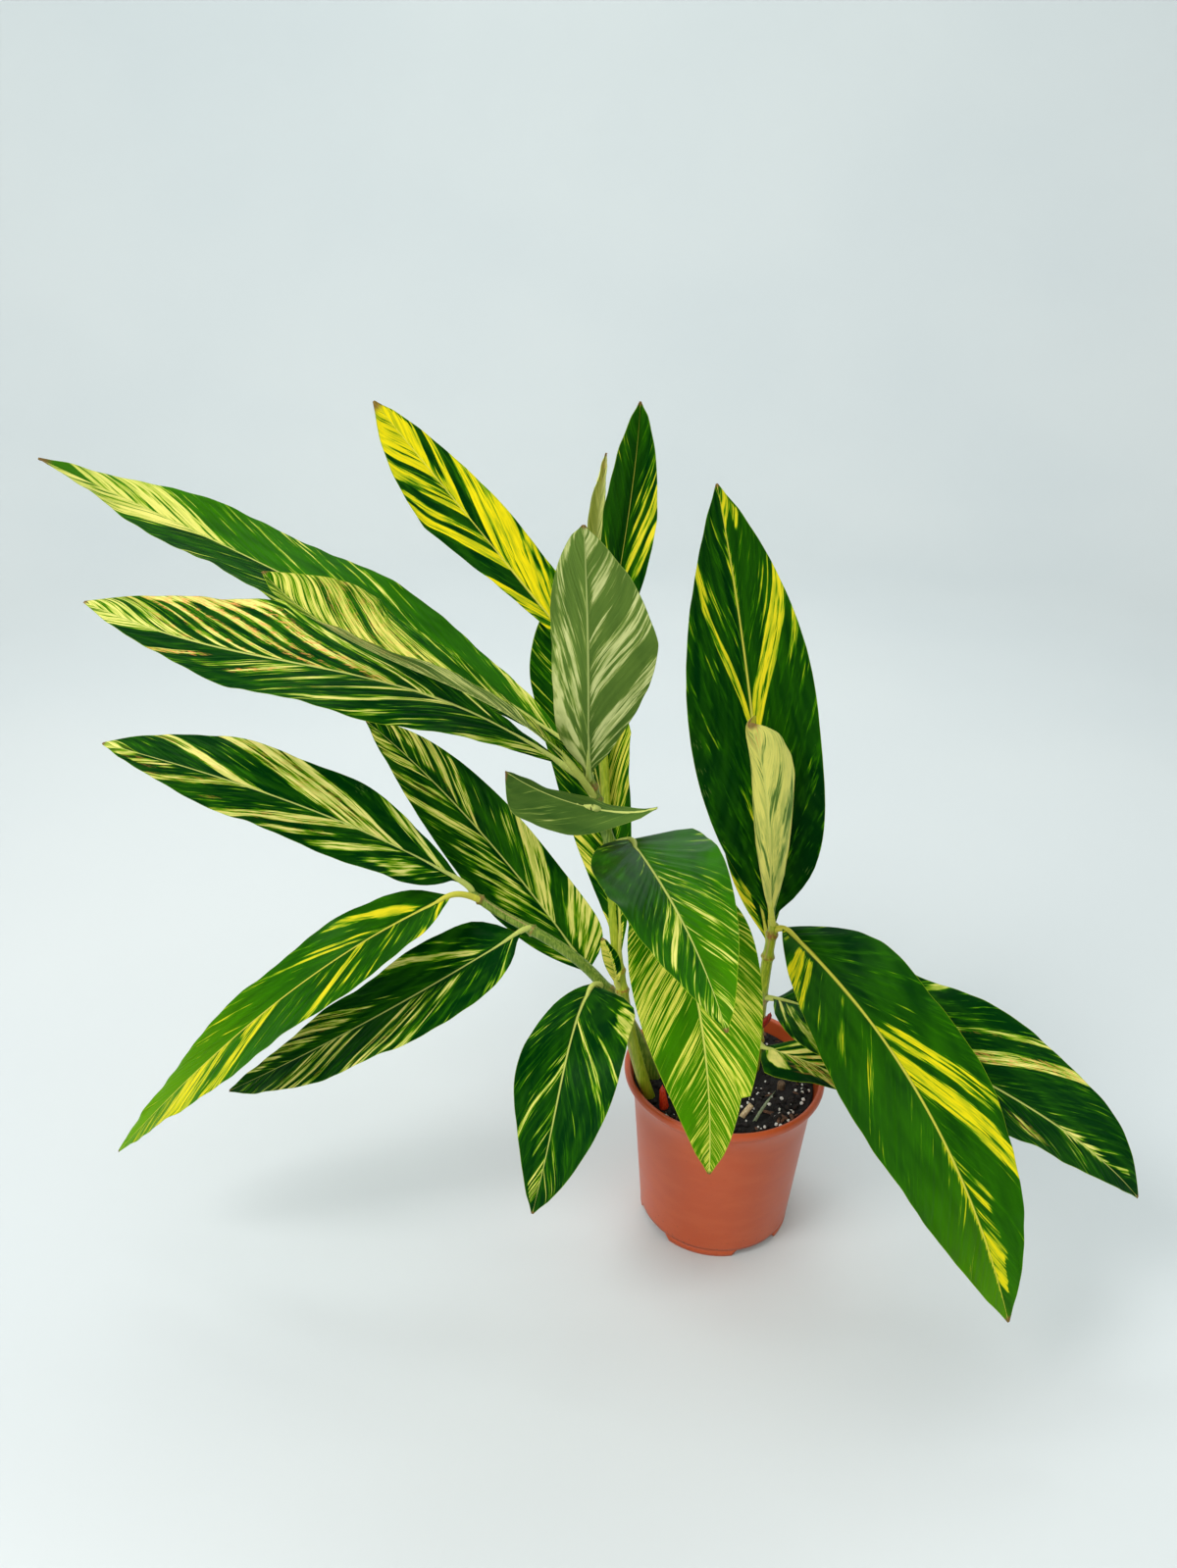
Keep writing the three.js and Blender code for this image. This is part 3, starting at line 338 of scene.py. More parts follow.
# Bits on the soil: number, seed, smallest and largest size, stretch along x, y and z, how far they
# stand out, and the look: name, dark and light colour, and how fine its grain is.
SOIL_BITS = {
    "soil_crumbs": dict(
        count=620, seed=21, sizes=(0.8, 2.3), stretch=(1.1, 1, 0.8), rise=0.35,
        look=("soil_crumb", (12, 9, 8), (38, 27, 21), 1.5),
    ),
    "soil_bark": dict(
        count=110, seed=22, sizes=(0.8, 2), stretch=(2.6, 0.8, 0.5), rise=0.5,
        look=("bark", (62, 38, 26), (118, 82, 56), 0.9),
    ),
    "soil_perlite": dict(
        count=210, seed=23, sizes=(0.45, 1.5), stretch=(1, 1, 0.9), rise=0.7,
        look=("perlite", (198, 194, 184), (240, 238, 230), 1.6),
    ),
}

# Pot and soil. Sections are (radius, height) points, rounded where they are dense.
POT_SIDES = 168
POT_BASE_RADIUS = 58
POT_FLOOR_Z = 6
POT_FLOOR_TOP = 8
POT_FLOOR_INNER = 30
POT_FLOOR_OUTER = 56
POT_WALL = [
    (58.3, 6), (62.5, 57), (66.8, 109), (68.6, 118), (71.6, 126), (73.6, 128.6), (74.8, 130), (75, 132),
    (74.4, 134.2), (72.6, 135), (70.6, 134.4), (70, 132.5), (69.2, 127), (66.6, 118), (65, 109), (60.8, 60),
    (56.5, 8),
]
POT_WALL_STEP = 3
POT_INNER = [(56.5, 8), (65, 109), (66.6, 118), (69.2, 127), (70, 135)]
FOOT_COUNT = 4
FOOT_CENTRE_DEG = -97
FOOT_GAP_WIDTH = 32
FOOT_SLANT = 4
FOOT_STEPS = 26
# A foot's section, and at each point whether it has the shorter length of the foot's underside
FOOT_SECTION = [(53.5, 6.6, 0), (53.5, 0.5, 1), (54, 0, 1), (57.5, 0, 1), (58, 0.5, 1), (58.3, 6.6, 0)]
DRAIN_HOLE_RADIUS = 4.5
DRAIN_HOLE_RING = 34
DRAIN_HOLE_COUNT = 6
SOIL_TOP_Z = 124
SOIL_SIDES = 120
SOIL_RINGS = 46
SOIL_GAP = 0.6
SOIL_SPREAD = 64
STEM_CLEARANCE = 5.5


# Shapes

# Nearly a full turn, for seeded draws of an angle
TURN = 6.28


def unit(a):
    tiny = 1e-12
    return a / np.maximum(np.linalg.norm(a, axis=-1, keepdims=True), tiny)


def curve_points(points, t):
    """A smooth curve through four points, at t = 0, 1/3, 2/3 and 1."""
    t = np.asarray(t, float)[..., None]
    a, b, c, d = np.array(points, float)
    return (
        a * (1 - 3 * t) * (2 - 3 * t) * (1 - t) / 2
        + b * 9 * t * (2 - 3 * t) * (1 - t) / 2
        + c * 9 * t * (3 * t - 1) * (1 - t) / 2
        + d * t * (3 * t - 1) * (3 * t - 2) / 2
    )


def share_at_height(route, height):
    """Where a rising route reaches a height, found by halving."""
    low, high = 0.0, 1.0
    for _ in range(30):
        middle = (low + high) / 2
        if curve_points(route, middle)[2] < height:
            low = middle
        else:
            high = middle
    return low


def along_values(values, t):
    """Values given at base, middle and tip, straight between them. One stands for all three."""
    v = np.array(values if len(values) == 3 else [values[0]] * 3, float)
    if v.ndim > 1:
        t = t[..., None]
    return np.where(t < 0.5, v[0] + (v[1] - v[0]) * 2 * t, v[1] + (v[2] - v[1]) * (2 * t - 1))


def smooth_step(low, high, x):
    t = np.clip((x - low) / (high - low), 0, 1)
    return t * t * (3 - 2 * t)


def plateau(rise_start, rise_end, fall_start, fall_end, x):
    return smooth_step(rise_start, rise_end, x) * (1 - smooth_step(fall_start, fall_end, x))


def hump(x, reach):
    """1 at x = 0, and smoothly down to nothing some two reaches away."""
    return np.exp(-((x / reach) ** 2))


def ripple(x, period, seed):
    """Smooth seeded noise between about -1 and 1, made of five waves."""
    draw = random.Random(seed)
    periods = [period * (0.55 + 0.33 * k) for k in range(5)]
    return sum(np.sin(2 * np.pi * x / wave + draw.uniform(0, TURN)) for wave in periods) / 2.6


def new_piece(name, points, faces, look, slot=None, node=None, smooth=True):
    """A piece with one material, attached to the root body if it has a slot name, and in place of a CAD
    node.
    """
    mesh = bpy.data.meshes.new(name)
    mesh.from_pydata((np.asarray(points, float) * MM).tolist(), [], faces)
    mesh.update()
    if smooth:
        mesh.polygons.foreach_set("use_smooth", np.ones(len(mesh.polygons), bool))
    piece = bpy.data.objects.new(name, mesh)
    bpy.context.scene.collection.objects.link(piece)
    piece.data.materials.append(look)
    if slot:
        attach(piece, "root")
    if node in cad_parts:
        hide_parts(node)
    return piece


def set_attribute(piece, name, values):
    data = piece.data.attributes.new(name, "FLOAT_VECTOR", "POINT")
    data.data.foreach_set("vector", np.asarray(values, np.float32).ravel())


def grid_faces(rows, columns, start=0, closed=False, flip=False):
    i = np.arange(rows - 1)[:, None]
    j = np.arange(columns if closed else columns - 1)[None, :]
    k = (j + 1) % columns
    quads = np.stack([i * columns + j, i * columns + k, (i + 1) * columns + k, (i + 1) * columns + j], -1)
    quads = quads.reshape(-1, 4) + start
    return (quads[:, ::-1] if flip else quads).tolist()


def circle(sides):
    return 2 * np.pi * np.arange(sides) / sides


def tube_rings(path, radii, sides, flatten=1):
    """Rings of points round a path, squeezed along their second axis by flatten."""
    tangent = unit(np.gradient(path, axis=0))
    reference = np.array((1.0, 0, 0)) if abs(tangent[0][0]) < 0.9 else np.array((0, 1.0, 0))
    a = unit(reference - (tangent @ reference)[:, None] * tangent)
    b = np.cross(tangent, a)
    angle = circle(sides)
    return (
        path[:, None]
        + (radii * np.cos(angle))[..., None] * a[:, None]
        + (radii * np.sin(angle) * flatten)[..., None] * b[:, None]
    )


def turned_rings(section, sides):
    """Rings of a shape turned round the pot's axis, from its section."""
    radius, height = np.array(section, float).T[..., None]
    angle = circle(sides)
    return np.stack([radius * np.cos(angle), radius * np.sin(angle), height + 0 * angle], -1)


def closed_rings(rings, start=0):
    """Points and faces of a body made of rings, closed at both ends."""
    rows, sides = rings.shape[:2]
    points = np.concatenate([rings.reshape(-1, 3), rings[0].mean(0)[None], rings[-1].mean(0)[None]])
    faces = grid_faces(rows, sides, start, closed=True)
    low, high = start + rows * sides, start + rows * sides + 1
    last = start + (rows - 1) * sides
    for k in range(sides):
        after = (k + 1) % sides
        faces.append((low, start + after, start + k))
        faces.append((high, last + k, last + after))
    return points, faces


# Materials

SPOT_ORANGE = (232, 150, 84)
DRY_BROWN = (122, 84, 52)
CANE_GREY = (142, 140, 112)
SEAM_TAN = (196, 150, 110)
POT_DARK = (186, 78, 36)
POT_LIGHT = (190, 84, 42)
POT_DIRT = (62, 40, 28)
FLOOR_DARK = (212, 217, 218)
FLOOR_LIGHT = (217, 221, 221)


def colour(red, green, blue):
    """A colour given as it looks on a screen, from 0 to 255."""
    def linear(c):
        c = c / 255
        return c / 12.92 if c <= 0.04045 else ((c + 0.055) / 1.055) ** 2.4
    return (linear(red), linear(green), linear(blue), 1)


class Nodes:
    """Short calls for building a node tree."""

    def __init__(self, name):
        self.material = bpy.data.materials.new(name)
        self.material.use_nodes = True
        self.tree = self.material.node_tree
        self.shader = self.tree.nodes["Principled BSDF"]

    def set(self, socket, value):
        """Link a socket, or give it a number or a colour of 0 to 255."""
        if isinstance(value, bpy.types.NodeSocket):
            self.tree.links.new(value, socket)
        elif isinstance(value, tuple):
            socket.default_value = colour(*value)
        else:
            socket.default_value = value

    def node(self, kind, inputs, **settings):
        """The outputs of a new node, given its settings and its inputs by name or number."""
        node = self.tree.nodes.new("ShaderNode" + kind)
        for key, value in settings.items():
            setattr(node, key, value)
        for key, value in inputs.items():
            self.set(node.inputs[key], value)
        return node.outputs

    def math(self, operation, a, b, clamp=False):
        return self.node("Math", {0: a, 1: b}, operation=operation, use_clamp=clamp)[0]

    def times(self, a, b):
        return self.math("MULTIPLY", a, b)

    def swing(self, noise, amount):
        """Noise as a change to both sides of 0, by up to half the amount."""
        return self.times(self.math("SUBTRACT", noise, 0.5), amount)

    def mix(self, share, a, b):
        return self.node("Mix", {"Factor": share, "A": a, "B": b}, data_type="RGBA")["Result"]

    def step(self, value, low, high, most=1.0):
        """Smoothly from 0 where the value is low to most where it is high."""
        inputs = {"Value": value, "From Min": low, "From Max": high, "To Max": most}
        return self.node("MapRange", inputs, interpolation_type="SMOOTHSTEP")["Result"]

    def split(self, vector):
        return self.node("SeparateXYZ", {0: vector})

    def attribute(self, name):
        return self.split(self.node("Attribute", {}, attribute_name=name)["Vector"])

    def place(self, scale=(1, 1, 1)):
        """Object coordinates in millimetres, stretched by scale."""
        coordinates = self.node("TexCoord", {})["Object"]
        return self.node("Mapping", {"Vector": coordinates, "Scale": [k / MM for k in scale]})[0]

    def noise(self, vector, scale, detail, grain=0.5):
        inputs = {"Vector": vector, "Scale": scale, "Detail": detail, "Roughness": grain}
        return self.node("TexNoise", inputs)["Fac"]

    def bump(self, height, distance, strength):
        return self.node("Bump", {"Height": height, "Distance": distance * MM, "Strength": strength})[0]

    def finish(self, base, roughness, normal=None, specular=0.5):
        self.set(self.shader.inputs["Base Color"], base)
        self.set(self.shader.inputs["Roughness"], roughness)
        self.shader.inputs["Specular IOR Level"].default_value = specular
        if normal is not None:
            self.tree.links.new(normal, self.shader.inputs["Normal"])
        return self.material


def leaf_material(name, deep, fresh, lime, between, cream, yellow, rib, roughness, contrast):
    """Green with pale bands along the side veins, from what make_leaf stores at each point."""
    n = Nodes(name)
    q, across, seed = n.attribute("vein")
    bias, tint, green_tone_and_painted_glow = n.attribute("marks")
    dry, blotch, rib_mark = n.attribute("wear")

    def streaks(per_vein, per_across, detail, shift, grain=0.65):
        """Noise that changes quickly from vein to vein and slowly along a vein."""
        place = {0: n.times(q, per_vein), 1: n.times(across, per_across), 2: n.math("ADD", seed, shift)}
        return n.noise(n.node("CombineXYZ", place)[0], 1, detail, grain)

    fine = streaks(0.55, 0.018, 2, 31)
    hair = streaks(1.1, 0.035, 3, 67)
    tone = streaks(0.42, 0.03, 3, 112)
    cloud = streaks(0.06, 0.05, 2, 0, 0.5)
    value = bias
    for streak, amount in ((streaks(0.2, 0.008, 1, 0), 0.8), (fine, contrast), (hair, 2.2)):
        value = n.math("ADD", value, n.swing(streak, amount))

    # The third marks value lightens the green towards lime and dulls the pale parts: partly the blade's own
    # tone, partly painted light shining through the blade.
    green = n.mix(n.math("ADD", green_tone_and_painted_glow, n.swing(cloud, 1.0), clamp=True), deep, fresh)
    green = n.mix(n.step(tone, 0.5, 0.75, 0.5), green, fresh)
    green = n.mix(n.step(green_tone_and_painted_glow, 0.5, 1.0), green, lime)
    pale = n.mix(tint, cream, yellow)
    pale = n.mix(n.step(tone, 0.42, 0.66, 0.6), pale, between)
    pale = n.mix(n.times(green_tone_and_painted_glow, 0.4), pale, between)
    skin = n.mix(n.step(value, -0.35, 0.05), green, fresh)
    skin = n.mix(n.step(value, -0.12, 0.18), skin, between)
    skin = n.mix(n.step(value, 0.04, 0.42), skin, pale)

    spots = n.times(n.step(streaks(0.5, 0.3, 3, 90, 0.5), 0.48, 0.62, 0.8), blotch)
    skin = n.mix(spots, skin, SPOT_ORANGE)
    skin = n.mix(n.step(rib_mark, 0.15, 0.75, 0.85), skin, n.mix(n.times(tint, 0.5), rib, yellow))
    skin = n.mix(n.step(n.times(rib_mark, -1.0), 0.25, 0.8, 0.7), skin, between)
    skin = n.mix(n.times(dry, 0.85), skin, DRY_BROWN)
    relief = n.math("ADD", n.times(hair, 0.6), n.times(fine, 0.5))
    gloss = n.math("ADD", roughness, n.swing(cloud, 0.2))
    n.shader.inputs["Specular Tint"].default_value = (0.5, 0.9, 0.45, 1)
    return n.finish(skin, gloss, n.bump(relief, 0.4, 0.7), specular=0.045)


def cane_material(name, base, streak, node_colour):
    n = Nodes(name)
    mark, seam, grey = n.attribute("vein")
    lines = n.noise(n.place((1, 1, 0.12)), 0.9, 3)
    broad = n.noise(n.place((0.2, 0.2, 0.03)), 1.0, 2)
    spots = n.noise(n.place(), 0.5, 3)
    skin = n.mix(n.step(lines, 0.4, 0.68), base, streak)
    skin = n.mix(n.step(broad, 0.45, 0.65, 0.4), skin, streak)
    skin = n.mix(n.times(grey, 0.7), skin, CANE_GREY)
    skin = n.mix(n.times(seam, 0.6), skin, SEAM_TAN)
    skin = n.mix(n.times(mark, n.step(spots, 0.3, 0.6)), skin, node_colour)
    return n.finish(skin, 0.4, n.bump(lines, 0.2, 0.5), specular=0.3)


def streaked_material(name, base, streak, roughness):
    n = Nodes(name)
    lines = n.noise(n.place((1, 1, 0.1)), 1.6, 3)
    patches = n.noise(n.place(), 0.15, 2)
    skin = n.mix(n.step(lines, 0.4, 0.65), base, streak)
    skin = n.mix(n.step(patches, 0.45, 0.7, 0.5), skin, base)
    return n.finish(skin, roughness, n.bump(lines, 0.3, 0.6))


def mottled_material(name, dark, light, scale, roughness=0.9, depth=0.4):
    n = Nodes(name)
    place = n.place()
    grain = n.noise(place, scale, 4, 0.6)
    broad = n.noise(place, scale * 0.2, 2)
    skin = n.mix(n.step(grain, 0.35, 0.68), dark, light)
    skin = n.mix(n.step(broad, 0.4, 0.65, 0.5), skin, dark)
    return n.finish(skin, roughness, n.bump(grain, depth, 0.8))


def pot_material():
    """Terracotta-coloured plastic, with soil dirt low on the wall."""
    n = Nodes("pot_plastic")
    place = n.place()
    smears = n.noise(n.place((0.04, 0.04, 0.11)), 1.0, 4)
    base = n.mix(n.step(smears, 0.38, 0.68), POT_DARK, POT_LIGHT)
    low = n.step(n.split(place)[2], 34, 2, 0.8)
    dirt = n.times(n.step(n.noise(place, 0.55, 2), 0.66, 0.72), n.math("ADD", low, 0.12))
    rough = n.math("ADD", 0.26, n.times(smears, 0.16))
    grain = n.noise(place, 1.1, 3)
    return n.finish(n.mix(dirt, base, POT_DIRT), rough, n.bump(grain, 0.04, 0.3), specular=0.4)


def floor_material():
    n = Nodes("floor")
    soft = n.noise(n.place(), 0.0012, 2)
    return n.finish(n.mix(n.step(soft, 0.3, 0.7), FLOOR_DARK, FLOOR_LIGHT), 0.7)


LEAF_UPPER = leaf_material(
    "leaf_upper", deep=(0, 46, 6), fresh=(52, 120, 0), lime=(104, 156, 2), between=(134, 164, 26),
    cream=(238, 230, 136), yellow=(250, 226, 20), rib=(198, 208, 112), roughness=0.36, contrast=3.2,
)
LEAF_UNDER = leaf_material(
    "leaf_under", deep=(58, 90, 34), fresh=(104, 132, 54), lime=(122, 152, 60), between=(146, 164, 78),
    cream=(238, 238, 164), yellow=(246, 228, 90), rib=(200, 212, 124), roughness=0.5, contrast=3.0,
)
CANE_GREEN = cane_material("cane_green", (84, 116, 26), (138, 158, 60), (134, 76, 36))
CANE_YELLOW = cane_material("cane_yellow", (138, 160, 18), (182, 190, 48), (150, 70, 40))


# Leaves

# Columns of a blade from the midrib to the edge, closer together where it bends most.
COLUMNS = np.array([
    0, 0.03, 0.07, 0.13, 0.2, 0.28, 0.37, 0.46, 0.55, 0.64, 0.73, 0.81, 0.88, 0.93, 0.965, 0.987, 1,
])
MIDRIB_STATIONS = 241
ROW_STEP = 1.7
LEAST_ROWS = 30
THICKNESS = 0.42
EDGE_THICKNESS = 0.16
RIB_WIDTH = 1.3
RIB_RISE = 0.3
RIB_KEEL = 0.9
STALK_WIDTH = 1.6
TIP_WIDTH = 0.7
PLEAT_HEIGHT = 0.2
PLEAT_PERIOD = 7
FLUTTER_HEIGHT = 0.7
FLUTTER_PERIOD = 34
WAVE_OFFSET = 0.37
PETIOLE_ROWS = 18
PETIOLE_SIDES = 14
# Rough length of a petiole, for its streaks
PETIOLE_LENGTH = 30
# How softly the flecks begin and end along the blade
SPOT_FADE = 15
FIRST_LEAF_SEED = 11
# The right side's noise is moved by this much, so that it doesn't mirror the left side's.
PLEAT_SHIFT = 400
FLUTTER_SHIFT = 300
STREAK_SHIFT = 500


def side_profile(leaf, side, t):
    """The share of its full width that a side has at t along the midrib."""
    peak, swell, taper = (leaf[key][side] for key in ("peak", "swell", "taper"))
    u = np.clip((t - leaf["stalk"]) / (1 - leaf["stalk"]), 0, 1)
    rise = 1 - np.clip(1 - u / peak, 0, 1) ** swell
    fall = 1 - np.clip((u - peak) / (1 - peak), 0, 1) ** taper
    return np.where(u < peak, rise, fall)


def blade_points(leaf, side, t, out):
    """The middle surface of a side. t is the place along it and out the share of its width."""
    tangent = unit(curve_points(leaf["rib"], t + 0.001) - curve_points(leaf["rib"], t - 0.001))
    up = unit(along_values(leaf["face"], t))
    up = unit(up - (up * tangent).sum(-1, keepdims=True) * tangent)
    right = np.cross(tangent, up) * (1 if side else -1)
    bare_width = np.clip((1 - t) * 30, TIP_WIDTH, STALK_WIDTH)
    width = leaf["half"][side] * side_profile(leaf, side, t) + bare_width
    fold = along_values(np.atleast_1d(leaf["fold"][side]), t)
    angle = np.radians(fold + leaf["curl"][side] * out / 2)
    wave_height, wave_count, wave_start = leaf["wave"]
    phase = wave_count * t + wave_start + (0 if side else WAVE_OFFSET)
    envelope = np.clip(np.sin(np.pi * t), 0, 1) ** 0.7
    lift = wave_height * out * out * envelope * np.sin(2 * np.pi * phase)
    return (
        curve_points(leaf["rib"], t)
        + right * (width * out * np.cos(angle))[..., None]
        + up * (width * out * np.sin(angle) + lift)[..., None]
    )


def both_ends(value):
    """A value at base and tip, given as one number or as two."""
    return value if isinstance(value, tuple) else (value, value)


def vein_slope(leaf, side, q, length):
    """Travel along the blade for its width, of the side veins that leave the midrib at q."""
    base, tip = both_ends(leaf["veins"][side])
    return base + (tip - base) * q / length


def vein_ends(leaf, side, q, length):
    """How far along the blade each side vein travels, and the power of its curve."""
    slope = vein_slope(leaf, side, q, length)

    def half_width(s):
        return leaf["half"][side] * side_profile(leaf, side, s / length) + 1

    low, high = q.copy(), np.full_like(q, length)
    for _ in range(40):
        middle = (low + high) / 2
        short = middle - q < slope * half_width(middle)
        low, high = np.where(short, middle, low), np.where(short, high, middle)
    # The first veins, over about a tenth of the blade, travel less.
    travel = (low - q) * (1 - np.exp(-q / (0.1 * length)))
    middle_share = 0.5 * half_width(q + travel) / half_width(q + travel / 2)
    power = np.log(0.5) / np.log(np.clip(middle_share, 0.25, 0.7))
    reach = 7
    window = hump(np.arange(2 * reach + 1) - reach, reach / 2)
    power = np.convolve(np.pad(power, reach, mode="edge"), window / window.sum(), mode="valid")
    return travel, power


def marking(leaf, side, q, out, seed):
    """How strongly the blade is marked with cream, above 0, or green, below 0."""
    bias = np.full(q.shape, float(leaf["look"][0]))
    wander = 1.6 * ripple(out * 40 + q * 0.5, 31, seed) * out
    for place, half, *span, strength in leaf[("left", "right")[side]]:
        start, end = span + [0, 1][len(span):]
        soft = min(1.5 + 0.12 * half, half)
        band = 1 - smooth_step(half - soft, half + soft, np.abs(q + wander - place))
        if end < 1:
            band = band * (1 - smooth_step(end - 0.06, end + 0.06, out))
        if start > 0:
            band = band * smooth_step(start - 0.08, start + 0.08, out)
        bias = bias + band * strength
    bias = np.maximum(0.85 * bias, -1)
    # Above the knee only half of the rest counts, so that streaks stay in the palest bands.
    knee = 0.18
    return np.where(bias > knee, knee + 0.5 * (bias - knee), bias)


def blade_side(leaf, side, q, stations, lengths, seed):
    """What is known at each point of a side, one row for each side vein."""
    length = lengths[-1]
    travel, power = vein_ends(leaf, side, q, length)
    s = q[:, None] + travel[:, None] * COLUMNS[None, :] ** power[:, None]
    s = np.maximum.accumulate(np.minimum(s, length), axis=0)
    out = np.broadcast_to(COLUMNS, s.shape)
    torn_side, torn_place = leaf["tear"]
    if side == torn_side:
        edge = s[:, -1:]
        out = out * (1 - (edge > torn_place) * (1 - edge / length))
    spacing = np.cumsum((q[1] - q[0]) / np.sqrt(1 + vein_slope(leaf, side, q, length) ** 2))
    vein = np.broadcast_to(q[:, None], s.shape)
    return dict(
        s=s, out=out, vein=vein, spacing=np.broadcast_to(spacing[:, None], s.shape),
        middle=blade_points(leaf, side, np.interp(s, lengths, stations), out),
        bias=marking(leaf, side, vein, out, seed + 5 * side),
        # The lighter green along a side: partly its own tone, partly painted light shining through the
        # blade.
        green_tone_and_painted_glow=np.interp(s, [0, length], both_ends(leaf["green"][side])),
    )


def blade_faces(rows, columns):
    """Faces of the upper side, the underside and the edge between them."""
    count = rows * columns
    faces = grid_faces(rows, columns) + grid_faces(rows, columns, count, flip=True)
    last = count - columns
    border = [(k, k + columns) for k in range(0, last, columns)]
    border += [(k + columns, k) for k in range(columns - 1, count - 1, columns)]
    border += [(k + 1, k) for k in range(columns - 1)]
    border += [(k, k + 1) for k in range(last, count - 1)]
    return faces + [(a, b, count + b, count + a) for a, b in border]


def petiole_rings(name, leaf, along):
    """The stalk from the cane's node into the foot of the midrib."""
    route = CANES[name.split("_")[0]]["route"]
    stem = [curve_points(route, share_at_height(route, leaf["node"]))]
    stem += [curve_points(leaf["rib"], leaf["join"] + step) for step in (0, 0.06, 0.12)]
    radii = np.interp(along, [0, 0.35, 0.7, 1], [2.4, 2.1, 1.4, 0.6])
    return tube_rings(curve_points(stem, along), radii[:, None], PETIOLE_SIDES)


def make_leaf(name, leaf, seed):
    """A blade with its petiole, with one row of points for each side vein."""
    stations = np.linspace(0, 1, MIDRIB_STATIONS)
    path = curve_points(leaf["rib"], stations)
    lengths = np.concatenate([[0], np.cumsum(np.linalg.norm(np.diff(path, axis=0), axis=1))])
    length = lengths[-1]
    q = np.linspace(0, length, max(int(length / ROW_STEP), LEAST_ROWS) + 1)
    left, right = (blade_side(leaf, side, q, stations, lengths, seed) for side in (0, 1))
    whole = {key: np.concatenate([left[key][:, :0:-1], right[key]], axis=1) for key in left}
    s, out, middle = whole["s"], whole["out"], whole["middle"]

    # Millimetres from the midrib, below 0 on the left, and millimetres to the edge
    columns = s.shape[1]
    centre = columns // 2
    steps = np.linalg.norm(np.diff(middle, axis=1), axis=2)
    across = np.zeros(s.shape)
    across[:, centre + 1:] = np.cumsum(steps[:, centre:], axis=1)
    across[:, :centre] = -np.cumsum(steps[:, :centre][:, ::-1], axis=1)[:, ::-1]
    on_left = np.arange(columns) < centre
    on_right = np.arange(columns) > centre
    to_edge = np.where(on_left, across - across[:, :1], across[:, -1:] - across)

    normal = np.cross(np.gradient(middle, axis=1), np.gradient(middle, axis=0))
    normal = np.where(np.linalg.norm(normal, axis=-1, keepdims=True) < 1e-6, (0, 0, 1), unit(normal))
    slim = 1 - 0.6 * s / length
    rib = hump(across, RIB_WIDTH) * slim
    inner = plateau(0.02, 0.15, 0.8, 1, out)
    pleat = PLEAT_HEIGHT * ripple(whole["vein"] + PLEAT_SHIFT * on_right, PLEAT_PERIOD, seed) * inner
    flutter = FLUTTER_HEIGHT * ripple(s + FLUTTER_SHIFT * on_right, FLUTTER_PERIOD, seed + 1)
    flutter = flutter * smooth_step(0.5, 1, out) * plateau(0, 0.15, 0.9, 1, s / length)
    middle = middle + normal * (pleat + flutter)[..., None]
    thick = EDGE_THICKNESS + (THICKNESS - EDGE_THICKNESS) * (1 - out ** 3)
    top = middle + normal * (thick / 2 - RIB_RISE * rib)[..., None]
    under = middle - normal * (thick / 2 + RIB_KEEL * rib)[..., None]

    count = s.size
    along = np.linspace(0, 1, PETIOLE_ROWS)
    stem_points, stem_faces = closed_rings(petiole_rings(name, leaf, along), 2 * count)
    points = np.concatenate([top.reshape(-1, 3), under.reshape(-1, 3), stem_points])
    faces = blade_faces(len(q), columns) + stem_faces
    look = LEAF_UNDER if leaf["dull"] else LEAF_UPPER
    piece = new_piece(f"leaf_{name}_blade", points, faces, look, "leaf_" + leaf["slot"], "leaf_" + name)

    rib_mark = hump(across, leaf["rib_width"] * slim + 0.25) - (1 - smooth_step(0.2, 0.9, to_edge))
    dry = smooth_step(length - leaf["dry"], length - 0.4 * leaf["dry"], s)
    low, high, share = leaf["spots"]
    spotted = plateau(low - SPOT_FADE, low + SPOT_FADE, high - SPOT_FADE, high + SPOT_FADE, whole["vein"])
    blotch = share * smooth_step(0, 0.3, whole["bias"] + 0.3 * out) * spotted
    spacing = leaf["fineness"] * whole["spacing"] + STREAK_SHIFT * on_right
    stem_spacing = np.concatenate([np.repeat(along * PETIOLE_LENGTH, PETIOLE_SIDES), [0, PETIOLE_LENGTH]])
    tint = leaf["look"][1]
    # The petiole's green level, from the base of the left side: partly its own tone, partly painted light
    # shining through it.
    stem_green_and_glow = both_ends(leaf["green"][0])[0]
    # Three values for each point, for leaf_material to read: those of the blade, then the petiole's
    for key, blade_values, stem_values in (
        ("vein", (spacing, across, seed * 7), (stem_spacing, 0, seed * 7)),
        ("marks", (whole["bias"], tint, whole["green_tone_and_painted_glow"]), (-0.3, tint, stem_green_and_glow)),
        ("wear", (dry, blotch, rib_mark), (0, 0, 0.75)),
    ):
        blade = np.stack([np.broadcast_to(value, s.shape).ravel() for value in blade_values], -1)
        stem = np.stack([np.broadcast_to(value, len(stem_points)) for value in stem_values], -1)
        set_attribute(piece, key, np.concatenate([blade, blade, stem]))

    piece.data.materials.append(LEAF_UNDER)
    upper_faces = (len(q) - 1) * (columns - 1)
    index = np.zeros(len(piece.data.polygons), np.int32)
    index[upper_faces:2 * upper_faces] = 1
    piece.data.polygons.foreach_set("material_index", index)


# Canes

CANE_ROW_STEP = 1.5
CANE_SIDES = 40
# Height of the grey band on a yellow cane, and its reach
GREY_HEIGHT = 198
GREY_REACH = 7


